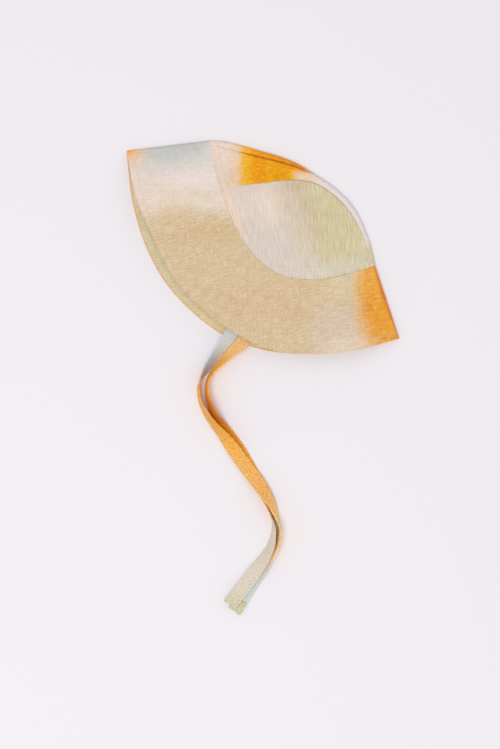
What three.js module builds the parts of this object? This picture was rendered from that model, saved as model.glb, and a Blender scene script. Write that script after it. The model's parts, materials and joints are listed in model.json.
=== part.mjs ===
// A baby's linen sun hat, folded in half along its front-to-back line and lying on its side.
// The half on top is called near and the half below it far. Two chin straps are sewn inside the
// crown seam, run out between the halves of the brim, and are fastened to each other by a hook
// patch and a loop patch.
//
// Millimetres, +Z up. z = 0 is the surface that the hat lies on, and the origin is under the
// middle of the hat, its straps left out.
//
// The hat's outlines are written along its own directions: p runs from the front fold of the
// crown to the back fold, and q from the brim towards the top of the crown.
import * as THREE from "three";

const { lerp, smoothstep, degToRad } = THREE.MathUtils;

// Cloth
const CLOTH = 1.6; // wall of doubled linen with its seam allowance
const SEAM_GAP = 0.4; // between two pieces that are sewn together
const FOLD_RADIUS = 1.4; // middle of the wall, where the hat is folded in half
const FOLD_STEPS = 4;

// How far the near half stands off the far half
const CROWN_RISE = 14; // in the middle of the crown, over what the fold leaves
const EDGE_SHARE = 0.55; // of that rise, at the edge of the brim
const RISE_RUN = 55; // distance from the fold over which it builds up
const EDGE_FALL = { from: 10, to: 130 }; // distance below the chord of the crown seam

// Where the folded hat lies: the middle of the chord of its crown seam, and its turn
const HAT_AT = { x: 28.4, y: 42.5 };
const HAT_TURN = degToRad(-37);

// Centre strip of the crown: it takes the crown seam from the front fold to the first of these
// shares of the seam's length, and from the second one to the back fold
const STRIP_FRONT_END = 0.18;
const STRIP_BACK_END = 0.982;
const STRIP_ROWS = 24;
const PANEL_BLUNT = 0.4; // of a row of the strip, cut off each pointed corner of a side panel

// Soft pleat beside the crown's fold: a valley, and a crest further in
const PLEAT_LIFT = 1.7; // how far its crest stands over the wall
const PLEAT_WIDTH = 2.4; // from its valley to its crest
const PLEAT_REACH = { valley: 0.7, crest: 0.85 }; // at most, of the strip's width on the near side

const BRIM_COLUMNS = 28;
const BRIM_ROWS = 6;
const PANEL_ROWS = 7;

// Straps and patches
const STRAP = { width: 13.5, thickness: 1.5, chamfer: 0.4 };
const PATCH = { width: 13, length: 12, thickness: 1, corner: 1.5, cornerSteps: 3, inset: 0.3 };
const PATCH_LOW = { loop: 1.85, hook: 3.15 }; // height of each patch's lower face

// Brim, a row for each section from the front fold to the back fold: where the near and the far
// wall meet the crown seam, and where their edges lie
const BRIM_SECTIONS = [
  { seam: [-99.5, 0], edge: [-157.3, -55.7], farSeam: [-99.5, 0], farEdge: [-157.3, -55.7] },
  { seam: [-76.3, -20.8], edge: [-121.6, -86.4], farSeam: [-78.3, -23.3], farEdge: [-123.9, -90.6] },
  { seam: [-52, -38], edge: [-81.5, -109.2], farSeam: [-56, -43], farEdge: [-86, -118.3] },
  { seam: [-29, -51.5], edge: [-44.6, -126.2], farSeam: [-33.5, -57.5], farEdge: [-47.8, -135] },
  { seam: [-3, -61.5], edge: [-2.5, -133.2], farSeam: [-7.5, -67.5], farEdge: [-5, -141.6] },
  { seam: [20, -63.9], edge: [33.2, -132.2], farSeam: [16, -68.9], farEdge: [30.8, -139.5] },
  { seam: [42, -58], edge: [67.5, -125.3], farSeam: [39, -62], farEdge: [65.2, -127.6] },
  { seam: [62.8, -44.4], edge: [100, -106], farSeam: [60.8, -46.9], farEdge: [98.2, -107] },
  { seam: [81.5, -24.5], edge: [131.2, -78.4], farSeam: [80.5, -25.5], farEdge: [130, -78.5] },
  { seam: [99.5, 0], edge: [159.9, -42], farSeam: [99.5, 0], farEdge: [159.9, -42] },
];

// Crown, a row for each section from front to back: where the near side panel meets the centre
// strip, where the fold lies, how far from the fold the pleat lies, and how much of it there is.
// The first and last row meet the crown seam, so their panel point is worked out.
const CROWN_SECTIONS = [
  { panel: null, fold: [-99.5, 0], pleatAt: 3.2, pleat: 0 },
  { panel: [-54, -22.8], fold: [-89.2, 7.1], pleatAt: 7, pleat: 0.6 },
  { panel: [-45, -12.8], fold: [-73.4, 14.3], pleatAt: 7.6, pleat: 1 },
  { panel: [-33.5, -1.8], fold: [-55.5, 21.3], pleatAt: 7.6, pleat: 1 },
  { panel: [-21.8, 10.2], fold: [-36.8, 28.4], pleatAt: 5.8, pleat: 1 },
  { panel: [-9, 21], fold: [-18, 33.3], pleatAt: 3.4, pleat: 0.6 },
  { panel: [7, 28.8], fold: [3, 35.4], pleatAt: 3.2, pleat: 0 },
  { panel: [27, 30.3], fold: [26, 36.2], pleatAt: 3.2, pleat: 0 },
  { panel: [47, 27.1], fold: [48, 32.8], pleatAt: 3.2, pleat: 0 },
  { panel: [66, 19.5], fold: [68.5, 23.2], pleatAt: 3.2, pleat: 0 },
  { panel: [83, 9], fold: [85.5, 12], pleatAt: 3.2, pleat: 0 },
  { panel: null, fold: [99.5, 0], pleatAt: 3.2, pleat: 0 },
];

// The straps' routes, from the crown seam to the free end. low is the height of the strap's
// lowest edge, and roll turns it about its run: 0 lies flat, 90 stands on its right edge as one
// follows the route, -90 on its left edge, -180 lies flat again, turned over, and -360 lies flat
// after a whole turn.
const NEAR_STRAP_ROUTE = [
  { x: 25.7, y: -28.6, low: 12.2, roll: 0 },
  { x: 20.9, y: -35.3, low: 11.4, roll: 0 },
  { x: 11.8, y: -48.3, low: 8.8, roll: 0 },
  { x: 1.7, y: -62.7, low: 5.8, roll: 0 },
  { x: -8.2, y: -76.6, low: 3.6, roll: 2 },
  { x: -14.8, y: -85.2, low: 2.6, roll: 10 },
  { x: -21.7, y: -93.4, low: 1.9, roll: 26 },
  { x: -29.7, y: -100.1, low: 1.2, roll: 44 },
  { x: -36.7, y: -106.8, low: 0.5, roll: 56 },
  { x: -43.3, y: -113.6, low: 0.05, roll: 66 },
  { x: -48.7, y: -120.3, low: 0.05, roll: 74 },
  { x: -52.3, y: -127, low: 0.05, roll: 78 },
  { x: -53.6, y: -134.7, low: 0.05, roll: 76 },
  { x: -53.1, y: -142.4, low: 0.05, roll: 74 },
  { x: -51.3, y: -149.1, low: 0.05, roll: 70 },
  { x: -48.6, y: -155.8, low: 0.05, roll: 65 },
  { x: -46.8, y: -160.6, low: 0.05, roll: 55 },
  { x: -44.8, y: -165.4, low: 0.05, roll: 37 },
  { x: -41.2, y: -171.2, low: 0.05, roll: 17 },
  { x: -35.7, y: -177.9, low: 0.05, roll: 5 },
  { x: -28.7, y: -186.5, low: 0.05, roll: 0 },
  { x: -22.1, y: -196.1, low: 0.05, roll: 0 },
  { x: -16.5, y: -205.7, low: 0.05, roll: 0 },
  { x: -11.1, y: -215.3, low: 0.05, roll: -4 },
  { x: -5.7, y: -224, low: 0.05, roll: -14 },
  { x: -0.3, y: -231.6, low: 0.05, roll: -28 },
  { x: 3.5, y: -238.4, low: 0.05, roll: -41 },
  { x: 6.2, y: -245.1, low: 0.05, roll: -52 },
  { x: 8, y: -251.8, low: 0.05, roll: -66 },
  { x: 8.9, y: -257.6, low: 0.05, roll: -80 },
  { x: 9.9, y: -263.3, low: 0.05, roll: -94 },
  { x: 10.5, y: -270, low: 0.05, roll: -102 },
  { x: 9.8, y: -277.7, low: 0.05, roll: -110 },
  { x: 8, y: -285.4, low: 0.05, roll: -120 },
  { x: 4.3, y: -293.1, low: 0.4, roll: -129 },
  { x: -0.3, y: -300.8, low: 1.4, roll: -144 },
  { x: -5.8, y: -308.4, low: 2.3, roll: -159 },
  { x: -11.3, y: -316.1, low: 2.4, roll: -174 },
  { x: -22.3, y: -330.7, low: 4.45, roll: -180 },
  { x: -31.7, y: -342.4, low: 4.45, roll: -180 },
];
const FAR_STRAP_ROUTE = [
  { x: 7, y: -23.8, low: 1.9, roll: 0 },
  { x: 1.7, y: -32.4, low: 1.9, roll: 0 },
  { x: -8.4, y: -47.8, low: 1.9, roll: 0 },
  { x: -18.4, y: -63.2, low: 1.9, roll: -4 },
  { x: -26.9, y: -77.1, low: 2.2, roll: -15 },
  { x: -32.4, y: -85.7, low: 1.9, roll: -30 },
  { x: -37.7, y: -93.4, low: 1, roll: -45 },
  { x: -43.6, y: -101.1, low: 0.3, roll: -55 },
  { x: -49, y: -109, low: 0.05, roll: -61 },
  { x: -53.8, y: -116.8, low: 0.05, roll: -67 },
  { x: -58.3, y: -124.4, low: 0.05, roll: -82 },
  { x: -61.1, y: -131.8, low: 0.05, roll: -97 },
  { x: -61.2, y: -140.4, low: 0.05, roll: -100 },
  { x: -59.3, y: -149.1, low: 0.05, roll: -104 },
  { x: -56.6, y: -154.8, low: 0.05, roll: -108 },
  { x: -53.3, y: -160.6, low: 0.3, roll: -113 },
  { x: -49.3, y: -166.4, low: 0.9, roll: -116 },
  { x: -44.9, y: -172.1, low: 1.8, roll: -121 },
  { x: -38.9, y: -178.8, low: 1.9, roll: -130 },
  { x: -32.2, y: -187.5, low: 1.95, roll: -150 },
  { x: -25.5, y: -197.1, low: 1.95, roll: -170 },
  { x: -18.6, y: -206.7, low: 1.95, roll: -180 },
  { x: -11.4, y: -216.3, low: 2.2, roll: -186 },
  { x: -5.6, y: -224, low: 2.6, roll: -195 },
  { x: -0.4, y: -231.6, low: 3.2, roll: -210 },
  { x: 4.2, y: -238.4, low: 3.4, roll: -224 },
  { x: 7.9, y: -244.1, low: 2.8, roll: -235 },
  { x: 10.7, y: -249.9, low: 1.5, roll: -244 },
  { x: 12.8, y: -255.6, low: 0.4, roll: -251 },
  { x: 14.7, y: -261.4, low: 0.05, roll: -260 },
  { x: 15.7, y: -267.2, low: 0.05, roll: -274 },
  { x: 15.4, y: -274.8, low: 0.05, roll: -283 },
  { x: 14.3, y: -282.5, low: 0.05, roll: -286 },
  { x: 10.8, y: -290.2, low: 0.05, roll: -298 },
  { x: 5.7, y: -296.9, low: 0.05, roll: -316 },
  { x: 1.2, y: -303.6, low: 0.05, roll: -334 },
  { x: -2.7, y: -310.4, low: 0.05, roll: -349 },
  { x: -8, y: -319, low: 0.05, roll: -360 },
  { x: -19.6, y: -337.3, low: 0.05, roll: -360 },
  { x: -27.2, y: -349.1, low: 0.05, roll: -360 },
];

const UP = new THREE.Vector3(0, 0, 1);
const FAR_MIDDLE = CLOTH / 2; // height of the middle of the far wall, which lies on the surface

// A smooth line through one column of a table, in the plane of the hat.
function columnCurve(rows, column) {
  const points = rows.map((row) => new THREE.Vector3(...row[column], 0));
  return new THREE.CatmullRomCurve3(points, false, "centripetal");
}

const nearSeam = columnCurve(BRIM_SECTIONS, "seam");
const nearEdge = columnCurve(BRIM_SECTIONS, "edge");
const farSeam = columnCurve(BRIM_SECTIONS, "farSeam");
const farEdge = columnCurve(BRIM_SECTIONS, "farEdge");
const crownFold = columnCurve(CROWN_SECTIONS, "fold");

// Where the near side panel meets the centre strip; its ends lie on the crown seam.
const nearPanelLine = new THREE.CatmullRomCurve3(
  [
    nearSeam.getPoint(STRIP_FRONT_END),
    ...CROWN_SECTIONS.slice(1, -1).map((row) => new THREE.Vector3(...row.panel, 0)),
    nearSeam.getPoint(STRIP_BACK_END),
  ],
  false,
  "centripetal",
);

// The same line on the far wall, moved as the far crown seam is moved against the near one.
function farPanelPoint(along) {
  const offset = (share) => farSeam.getPoint(share).sub(nearSeam.getPoint(share));
  const moved = offset(STRIP_FRONT_END).lerp(offset(STRIP_BACK_END), along);
  return nearPanelLine.getPoint(along).add(moved);
}

// The line along which the hat is folded in half, from the brim's front tip to its back tip.
const FOLD_LINE = [
  new THREE.Vector3(...BRIM_SECTIONS[0].edge, 0),
  ...crownFold.getPoints(2 * CROWN_SECTIONS.length),
  new THREE.Vector3(...BRIM_SECTIONS.at(-1).edge, 0),
];

function distanceToFold(point) {
  const flat = new THREE.Vector3(point.x, point.y, 0);
  const nearest = new THREE.Vector3();
  const distances = FOLD_LINE.slice(1).map((end, i) => {
    new THREE.Line3(FOLD_LINE[i], end).closestPointToPoint(flat, true, nearest);
    return nearest.distanceTo(flat);
  });
  return Math.min(...distances);
}

// A point of the plane, lifted to the middle of the near wall or of the far wall.
function onNear(point) {
  const inward = smoothstep(distanceToFold(point) / RISE_RUN, 0, 1);
  const share = lerp(1, EDGE_SHARE, smoothstep(-point.y, EDGE_FALL.from, EDGE_FALL.to));
  const height = FAR_MIDDLE + 2 * FOLD_RADIUS + CROWN_RISE * inward * share;
  return new THREE.Vector3(point.x, point.y, height);
}

function onFar(point) {
  return new THREE.Vector3(point.x, point.y, FAR_MIDDLE);
}

// The direction in the plane that points out of the hat, square to a fold that runs along it.
function outOf(along) {
  return new THREE.Vector3(-along.y, along.x, 0).normalize();
}

const frontFoldOut = outOf(nearSeam.getPoint(0).sub(nearEdge.getPoint(0)));
const backFoldOut = outOf(nearEdge.getPoint(1).sub(nearSeam.getPoint(1)));

// The half-round of cloth at a fold, from the near wall down to the far wall. The given point
// is the outermost one of the outer face.
function foldArc(point, out) {
  const centre = point.clone().addScaledVector(out, -FOLD_RADIUS - CLOTH / 2);
  return Array.from({ length: FOLD_STEPS + 1 }, (_, i) => {
    const angle = Math.PI * (1 - i / FOLD_STEPS);
    const at = centre.clone().addScaledVector(out, FOLD_RADIUS * Math.sin(angle));
    return at.setZ(FAR_MIDDLE + FOLD_RADIUS * (1 - Math.cos(angle)));
  });
}

// Turns a grid of points on the middle of a wall into a closed wall of cloth. Its outer face is
// on the side that the rows and columns turn round to by the right-hand rule. In a ring, each
// row closes on itself.
function wallGeometry(rows, { ring = false } = {}) {
  const columns = rows[0].length;
  const last = rows.length - 1;
  const column = (j) => (ring ? (j + columns) % columns : Math.min(Math.max(j, 0), columns - 1));
  const positions = [];
  rows.forEach((row, i) =>
    row.forEach((point, j) => {
      const across = rows[Math.min(i + 1, last)][j].clone().sub(rows[Math.max(i - 1, 0)][j]);
      const along = row[column(j + 1)].clone().sub(row[column(j - 1)]);
      const normal = across.cross(along).normalize();
      for (const side of [CLOTH / 2, -CLOTH / 2])
        positions.push(...point.clone().addScaledVector(normal, side).toArray());
    }),
  );

  const outer = (i, j) => 2 * (i * columns + column(j));
  const inner = (i, j) => outer(i, j) + 1;
  const index = [];
  const quad = (a, b, c, d) => index.push(a, b, c, a, c, d);
  const spans = ring ? columns : columns - 1;
  for (let i = 0; i < last; i++)
    for (let j = 0; j < spans; j++) {
      quad(outer(i, j), outer(i + 1, j), outer(i + 1, j + 1), outer(i, j + 1));
      quad(inner(i, j), inner(i, j + 1), inner(i + 1, j + 1), inner(i + 1, j));
    }
  for (let j = 0; j < spans; j++) {
    quad(outer(0, j), outer(0, j + 1), inner(0, j + 1), inner(0, j));
    quad(outer(last, j), inner(last, j), inner(last, j + 1), outer(last, j + 1));
  }
  if (!ring)
    for (let i = 0; i < last; i++) {
      quad(outer(i, 0), inner(i, 0), inner(i + 1, 0), outer(i + 1, 0));
      quad(outer(i, spans), outer(i + 1, spans), inner(i + 1, spans), inner(i, spans));
    }
  return indexedGeometry(positions, index);
}

function indexedGeometry(positions, index) {
  return new THREE.BufferGeometry()
    .setAttribute("position", new THREE.Float32BufferAttribute(positions, 3))
    .setIndex(index);
}

// Moves the points of a sewn side back towards the piece by half the seam gap.
function drawBack(points, inwardPoints) {
  points.forEach((point, i) => {
    const inward = inwardPoints[i].clone().sub(point).setLength(SEAM_GAP / 2);
    point.add(inward);
  });
}

const firstOf = (rows, place) => rows.map((row) => row.at(place));

// One section across the brim's ring, at a share of the way from the crown seam to the edge.
function brimRing(share) {
  const shares = Array.from({ length: BRIM_COLUMNS - 1 }, (_, i) => (i + 1) / BRIM_COLUMNS);
  const wall = (seam, edge) => shares.map((at) => seam.getPoint(at).lerp(edge.getPoint(at), share));
  const foldPoint = (at) => nearSeam.getPoint(at).lerp(nearEdge.getPoint(at), share);
  return [
    ...wall(nearSeam, nearEdge).map(onNear),
    ...foldArc(foldPoint(1), backFoldOut),
    ...wall(farSeam, farEdge).map(onFar).reverse(),
    ...foldArc(foldPoint(0), frontFoldOut).reverse(),
  ];
}

function brimGeometry() {
  const rows = Array.from({ length: BRIM_ROWS + 1 }, (_, i) => brimRing(i / BRIM_ROWS));
  drawBack(rows[0], rows[1]);
  return wallGeometry(rows, { ring: true });
}

// A value of the crown table at a share of the way from its first row to its last.
function crownValue(column, along) {
  const at = along * (CROWN_SECTIONS.length - 1);
  const row = Math.min(Math.floor(at), CROWN_SECTIONS.length - 2);
  return lerp(CROWN_SECTIONS[row][column], CROWN_SECTIONS[row + 1][column], at - row);
}

// Distances from the fold to the points of one section of the centre strip, on its near side
// and on its far side. The pleat takes the last two near points.
function stripSteps(length, pleatAt) {
  const valley = Math.min(pleatAt, PLEAT_REACH.valley * length);
  const crest = Math.min(valley + PLEAT_WIDTH, PLEAT_REACH.crest * length);
  const near = [length, lerp(length, crest, 1 / 3), lerp(length, crest, 2 / 3), crest, valley];
  const start = FOLD_RADIUS + CLOTH / 2;
  const far = [1, 2, 3, 4].map((i) => lerp(start, length, i / 4));
  return { near, far };
}

// One section of the centre strip, from the near side panel over the fold to the far one.
// The front and back sections follow the crown seam, and the others run straight.
function stripRow(along) {
  const fold = crownFold.getPoint(along);
  const seamEnd = { 0: STRIP_FRONT_END, 1: STRIP_BACK_END }[along];
  const side = (seam, panelPoint) => {
    const length = panelPoint.distanceTo(fold);
    const place = (distance) =>
      seamEnd === undefined
        ? fold.clone().lerp(panelPoint, distance / length)
        : seam.getPoint(lerp(along, seamEnd, distance / length));
    return { length, place };
  };
  const near = side(nearSeam, nearPanelLine.getPoint(along));
  const far = side(farSeam, farPanelPoint(along));
  const pleatAt = crownValue("pleatAt", along);
  const nearPoints = stripSteps(near.length, pleatAt).near.map(near.place).map(onNear);
  nearPoints.at(-2).z += PLEAT_LIFT * crownValue("pleat", along);
  const farPoints = stripSteps(far.length, pleatAt).far.map(far.place).map(onFar);
  const outs = { 0: frontFoldOut, 1: backFoldOut };
  return [...nearPoints, ...foldArc(fold, outs[along] ?? outOf(crownFold.getTangent(along))), ...farPoints];
}

function stripGeometry() {
  const rows = Array.from({ length: STRIP_ROWS + 1 }, (_, i) => stripRow(i / STRIP_ROWS));
  drawBack(rows[0], rows[1]);
  drawBack(rows.at(-1), rows.at(-2));
  drawBack(firstOf(rows, 0), firstOf(rows, 1));
  drawBack(firstOf(rows, -1), firstOf(rows, -2));
  return wallGeometry(rows);
}

// A side panel, between the crown seam and the centre strip. Its two corners are cut blunt.
function panelGeometry(seam, panelPoint, lift, outerFaceUp) {
  const alongs = Array.from({ length: STRIP_ROWS + 1 }, (_, i) => {
    const inside = Math.min(Math.max(i, PANEL_BLUNT), STRIP_ROWS - PANEL_BLUNT);
    return inside / STRIP_ROWS;
  });
  const rows = alongs.map((along) => {
    const bottom = seam.getPoint(lerp(STRIP_FRONT_END, STRIP_BACK_END, along));
    const top = panelPoint(along);
    return Array.from({ length: PANEL_ROWS + 1 }, (_, j) =>
      lift(bottom.clone().lerp(top, j / PANEL_ROWS)),
    );
  });
  drawBack(firstOf(rows, 0), firstOf(rows, 1));
  drawBack(firstOf(rows, -1), firstOf(rows, -2));
  return wallGeometry(outerFaceUp ? rows : rows.map((row) => row.reverse()));
}

// Half of the outline of a flat strap's section, across its width and through its thickness.
// The other half is the same, turned round.
const HALF_SECTION = [
  [STRAP.width / 2, STRAP.chamfer - STRAP.thickness / 2],
  [STRAP.width / 2, STRAP.thickness / 2 - STRAP.chamfer],
  [STRAP.width / 2 - STRAP.chamfer, STRAP.thickness / 2],
  [0, STRAP.thickness / 2],
  [STRAP.chamfer - STRAP.width / 2, STRAP.thickness / 2],
];
const STRAP_SECTION = [...HALF_SECTION, ...HALF_SECTION.map(([wide, thick]) => [-wide, -thick])];

// The middle of the strap at a row of its route.
function strapCentre({ x, y, low, roll }) {
  const turn = degToRad(roll);
  const halfHeight = (STRAP.width * Math.abs(Math.sin(turn)) + STRAP.thickness * Math.abs(Math.cos(turn))) / 2;
  return new THREE.Vector3(x, y, low + halfHeight);
}

function strapGeometry(route) {
  const centres = route.map(strapCentre);
  const last = centres.length - 1;
  const positions = centres.flatMap((centre, i) => {
    const run = centres[Math.min(i + 1, last)].clone().sub(centres[Math.max(i - 1, 0)]).normalize();
    const level = outOf(run);
    const turn = degToRad(route[i].roll);
    const wide = level.clone().multiplyScalar(Math.cos(turn)).addScaledVector(UP, Math.sin(turn));
    wide.addScaledVector(run, -wide.dot(run)).normalize();
    const thick = run.clone().cross(wide);
    return STRAP_SECTION.flatMap(([w, t]) =>
      centre.clone().addScaledVector(wide, w).addScaledVector(thick, t).toArray(),
    );
  });
  const sides = STRAP_SECTION.length;
  const index = [];
  for (let i = 0; i < last; i++)
    for (let j = 0; j < sides; j++) {
      const [a, b] = [i * sides + j, i * sides + ((j + 1) % sides)];
      index.push(a, b, b + sides, a, b + sides, a + sides);
    }
  for (let j = 1; j < sides - 1; j++) {
    index.push(0, j + 1, j);
    const end = last * sides;
    index.push(end, end + j, end + j + 1);
  }
  return indexedGeometry(positions, index);
}

// A patch of hook or loop tape, flat on the last stretch of a strap.
function patchMesh(name, route, low, colour) {
  const [before, end] = route.slice(-2);
  const run = new THREE.Vector3(end.x - before.x, end.y - before.y, 0).normalize();
  const { width, length, corner, inset } = PATCH;
  const [w, l] = [width / 2, length / 2];
  const outline = new THREE.Shape()
    .moveTo(-l + corner, -w)
    .lineTo(l - corner, -w)
    .absarc(l - corner, -w + corner, corner, -Math.PI / 2, 0)
    .lineTo(l, w - corner)
    .absarc(l - corner, w - corner, corner, 0, Math.PI / 2)
    .lineTo(-l + corner, w)
    .absarc(-l + corner, w - corner, corner, Math.PI / 2, Math.PI)
    .lineTo(-l, -w + corner)
    .absarc(-l + corner, -w + corner, corner, Math.PI, 1.5 * Math.PI);
  const geometry = new THREE.ExtrudeGeometry(outline, {
    depth: PATCH.thickness,
    bevelEnabled: false,
    curveSegments: PATCH.cornerSteps,
  });
  const mesh = clothMesh(name, geometry, colour);
  mesh.position.set(end.x - run.x * (l + inset), end.y - run.y * (l + inset), low);
  mesh.rotation.z = Math.atan2(run.y, run.x);
  return mesh;
}

function clothMesh(name, geometry, color) {
  const mesh = new THREE.Mesh(geometry, new THREE.MeshStandardMaterial({ color, roughness: 0.9 }));
  mesh.name = name;
  return mesh;
}

const hat = new THREE.Group();
hat.position.set(HAT_AT.x, HAT_AT.y, 0);
hat.rotation.z = HAT_TURN;
hat.add(
  clothMesh("brim", brimGeometry(), 0xd9c39a),
  clothMesh("crown_strip", stripGeometry(), 0xe8a030),
  clothMesh(
    "crown_side_near",
    panelGeometry(nearSeam, (along) => nearPanelLine.getPoint(along), onNear, true),
    0xdcd2be,
  ),
  clothMesh("crown_side_far", panelGeometry(farSeam, farPanelPoint, onFar, false), 0xdcd2be),
);

const sunHat = new THREE.Group();
sunHat.add(
  hat,
  clothMesh("chin_strap_near", strapGeometry(NEAR_STRAP_ROUTE), 0xe89a3c),
  clothMesh("chin_strap_far", strapGeometry(FAR_STRAP_ROUTE), 0xcfd1c9),
  patchMesh("hook_patch", NEAR_STRAP_ROUTE, PATCH_LOW.hook, 0xcfc998),
  patchMesh("loop_patch", FAR_STRAP_ROUTE, PATCH_LOW.loop, 0xcfc998),
);

export default sunHat;
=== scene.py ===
"""Looks of a baby's linen sun hat, folded in half and lying on its side with its chin straps out.

Every size is in metres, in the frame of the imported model: +Z is up from the surface that the hat
lies on, and the origin is under the middle of the folded hat. The half of the hat on top is
called near and the half below it far.
"""

import json
import logging
import math
from collections.abc import Callable, Iterable, Sequence
from dataclasses import dataclass, field
from enum import Enum
from typing import NamedTuple

import bmesh
import bpy
from mathutils import Matrix, Vector, noise
from mathutils.bvhtree import BVHTree
from mathutils.kdtree import KDTree
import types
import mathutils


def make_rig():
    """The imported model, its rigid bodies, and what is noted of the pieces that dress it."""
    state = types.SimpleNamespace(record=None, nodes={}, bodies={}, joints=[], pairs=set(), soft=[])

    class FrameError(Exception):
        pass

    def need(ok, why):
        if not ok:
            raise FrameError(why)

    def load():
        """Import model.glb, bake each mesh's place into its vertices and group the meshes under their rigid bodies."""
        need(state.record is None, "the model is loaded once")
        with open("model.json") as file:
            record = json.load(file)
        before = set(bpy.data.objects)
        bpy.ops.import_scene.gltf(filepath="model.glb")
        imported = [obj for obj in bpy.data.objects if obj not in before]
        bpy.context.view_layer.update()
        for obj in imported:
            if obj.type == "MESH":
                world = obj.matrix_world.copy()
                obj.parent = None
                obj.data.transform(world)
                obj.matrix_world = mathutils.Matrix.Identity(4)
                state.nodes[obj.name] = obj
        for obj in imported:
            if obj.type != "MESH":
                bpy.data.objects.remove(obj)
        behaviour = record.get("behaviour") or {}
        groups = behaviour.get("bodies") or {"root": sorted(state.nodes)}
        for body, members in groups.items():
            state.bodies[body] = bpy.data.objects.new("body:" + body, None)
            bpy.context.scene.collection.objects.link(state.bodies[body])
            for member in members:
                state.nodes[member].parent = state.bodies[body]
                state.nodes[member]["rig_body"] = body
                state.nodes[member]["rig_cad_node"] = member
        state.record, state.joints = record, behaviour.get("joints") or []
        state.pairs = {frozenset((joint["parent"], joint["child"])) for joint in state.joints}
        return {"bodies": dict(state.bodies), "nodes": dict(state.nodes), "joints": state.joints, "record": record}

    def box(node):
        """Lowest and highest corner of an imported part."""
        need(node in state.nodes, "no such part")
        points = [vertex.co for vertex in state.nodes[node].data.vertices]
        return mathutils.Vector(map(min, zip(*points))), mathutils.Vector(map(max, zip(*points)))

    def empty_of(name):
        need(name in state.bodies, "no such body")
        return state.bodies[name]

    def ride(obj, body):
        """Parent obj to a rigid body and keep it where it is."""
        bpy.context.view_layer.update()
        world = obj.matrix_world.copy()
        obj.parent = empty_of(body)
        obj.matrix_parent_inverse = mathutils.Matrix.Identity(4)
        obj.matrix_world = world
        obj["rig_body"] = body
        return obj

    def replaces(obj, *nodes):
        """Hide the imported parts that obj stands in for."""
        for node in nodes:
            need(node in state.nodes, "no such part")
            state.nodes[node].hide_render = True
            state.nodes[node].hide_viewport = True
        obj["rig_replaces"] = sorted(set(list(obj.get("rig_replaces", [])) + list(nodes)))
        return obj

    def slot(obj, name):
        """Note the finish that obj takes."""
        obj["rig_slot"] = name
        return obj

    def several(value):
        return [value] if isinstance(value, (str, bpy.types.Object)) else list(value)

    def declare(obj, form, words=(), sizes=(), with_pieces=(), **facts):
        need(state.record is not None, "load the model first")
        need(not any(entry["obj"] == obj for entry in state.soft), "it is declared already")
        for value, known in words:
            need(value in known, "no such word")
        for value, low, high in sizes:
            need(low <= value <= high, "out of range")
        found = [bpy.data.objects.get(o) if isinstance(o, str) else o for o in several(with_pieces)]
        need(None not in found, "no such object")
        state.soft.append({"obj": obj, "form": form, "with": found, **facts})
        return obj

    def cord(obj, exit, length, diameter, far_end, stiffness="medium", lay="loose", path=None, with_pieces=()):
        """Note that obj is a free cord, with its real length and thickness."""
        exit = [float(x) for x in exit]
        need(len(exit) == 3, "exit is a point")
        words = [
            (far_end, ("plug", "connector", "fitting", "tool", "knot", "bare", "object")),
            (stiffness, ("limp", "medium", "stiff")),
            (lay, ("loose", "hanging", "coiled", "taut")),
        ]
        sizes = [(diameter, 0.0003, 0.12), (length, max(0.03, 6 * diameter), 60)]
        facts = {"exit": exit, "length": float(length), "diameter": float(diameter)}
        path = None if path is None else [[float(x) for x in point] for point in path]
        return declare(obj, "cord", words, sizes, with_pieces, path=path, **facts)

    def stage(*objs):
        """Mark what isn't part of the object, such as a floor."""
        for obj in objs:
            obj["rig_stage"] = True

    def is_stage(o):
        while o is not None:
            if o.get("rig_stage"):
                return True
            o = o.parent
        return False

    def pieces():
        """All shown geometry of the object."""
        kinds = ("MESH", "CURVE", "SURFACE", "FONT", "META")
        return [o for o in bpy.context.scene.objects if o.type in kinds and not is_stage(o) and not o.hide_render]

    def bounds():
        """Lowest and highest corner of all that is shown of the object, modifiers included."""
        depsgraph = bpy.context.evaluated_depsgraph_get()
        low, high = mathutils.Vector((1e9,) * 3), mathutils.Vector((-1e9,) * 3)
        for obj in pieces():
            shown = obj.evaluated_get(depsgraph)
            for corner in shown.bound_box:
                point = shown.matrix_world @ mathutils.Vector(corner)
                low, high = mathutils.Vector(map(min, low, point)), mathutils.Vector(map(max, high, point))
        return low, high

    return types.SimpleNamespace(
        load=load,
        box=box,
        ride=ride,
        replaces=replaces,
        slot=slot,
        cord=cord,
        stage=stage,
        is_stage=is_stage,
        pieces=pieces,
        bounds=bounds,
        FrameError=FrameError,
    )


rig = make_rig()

LOG = logging.getLogger("sun_hat")

SIZE_FILE = "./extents.json"
ROOT = "root"
UP = Vector((0.0, 0.0, 1.0))
FAR_AWAY = 1000.0  # keeps a zone of dye from ending above or below the surface
MERGE_DISTANCE = 1e-6
LEAST_WIDTH = 1e-4  # stands for the width of a panel where it runs to a point
RIPPLES_PER_METRE = 24.0  # soft waves of a limp wall, about 40 mm long
WAVE_BAND = 2 * math.pi / 20  # how far apart a wave texture of scale 1 has its bands
FRAME_HEIGHT = 0.719  # the stretch of ground that the photograph's height covers

# The third coordinate in the noise, which keeps the relief of one piece from repeating another's
BRIM_RELIEF = 7.0
CROWN_RELIEF = 3.0
STRAP_RELIEF = 11.0

# The rounding of a wall's edges: its size as a share of the thickness, its steps, and the least
# corner that it takes
EDGE_ROUNDING = 0.36
EDGE_SEGMENTS = 3
EDGE_CORNER_DEG = 50.0


class BrimSection(NamedTuple):
    """Where the brim's two walls meet the crown seam, and where their edges lie."""

    seam: tuple[float, float]
    edge: tuple[float, float]
    far_seam: tuple[float, float]
    far_edge: tuple[float, float]


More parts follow.
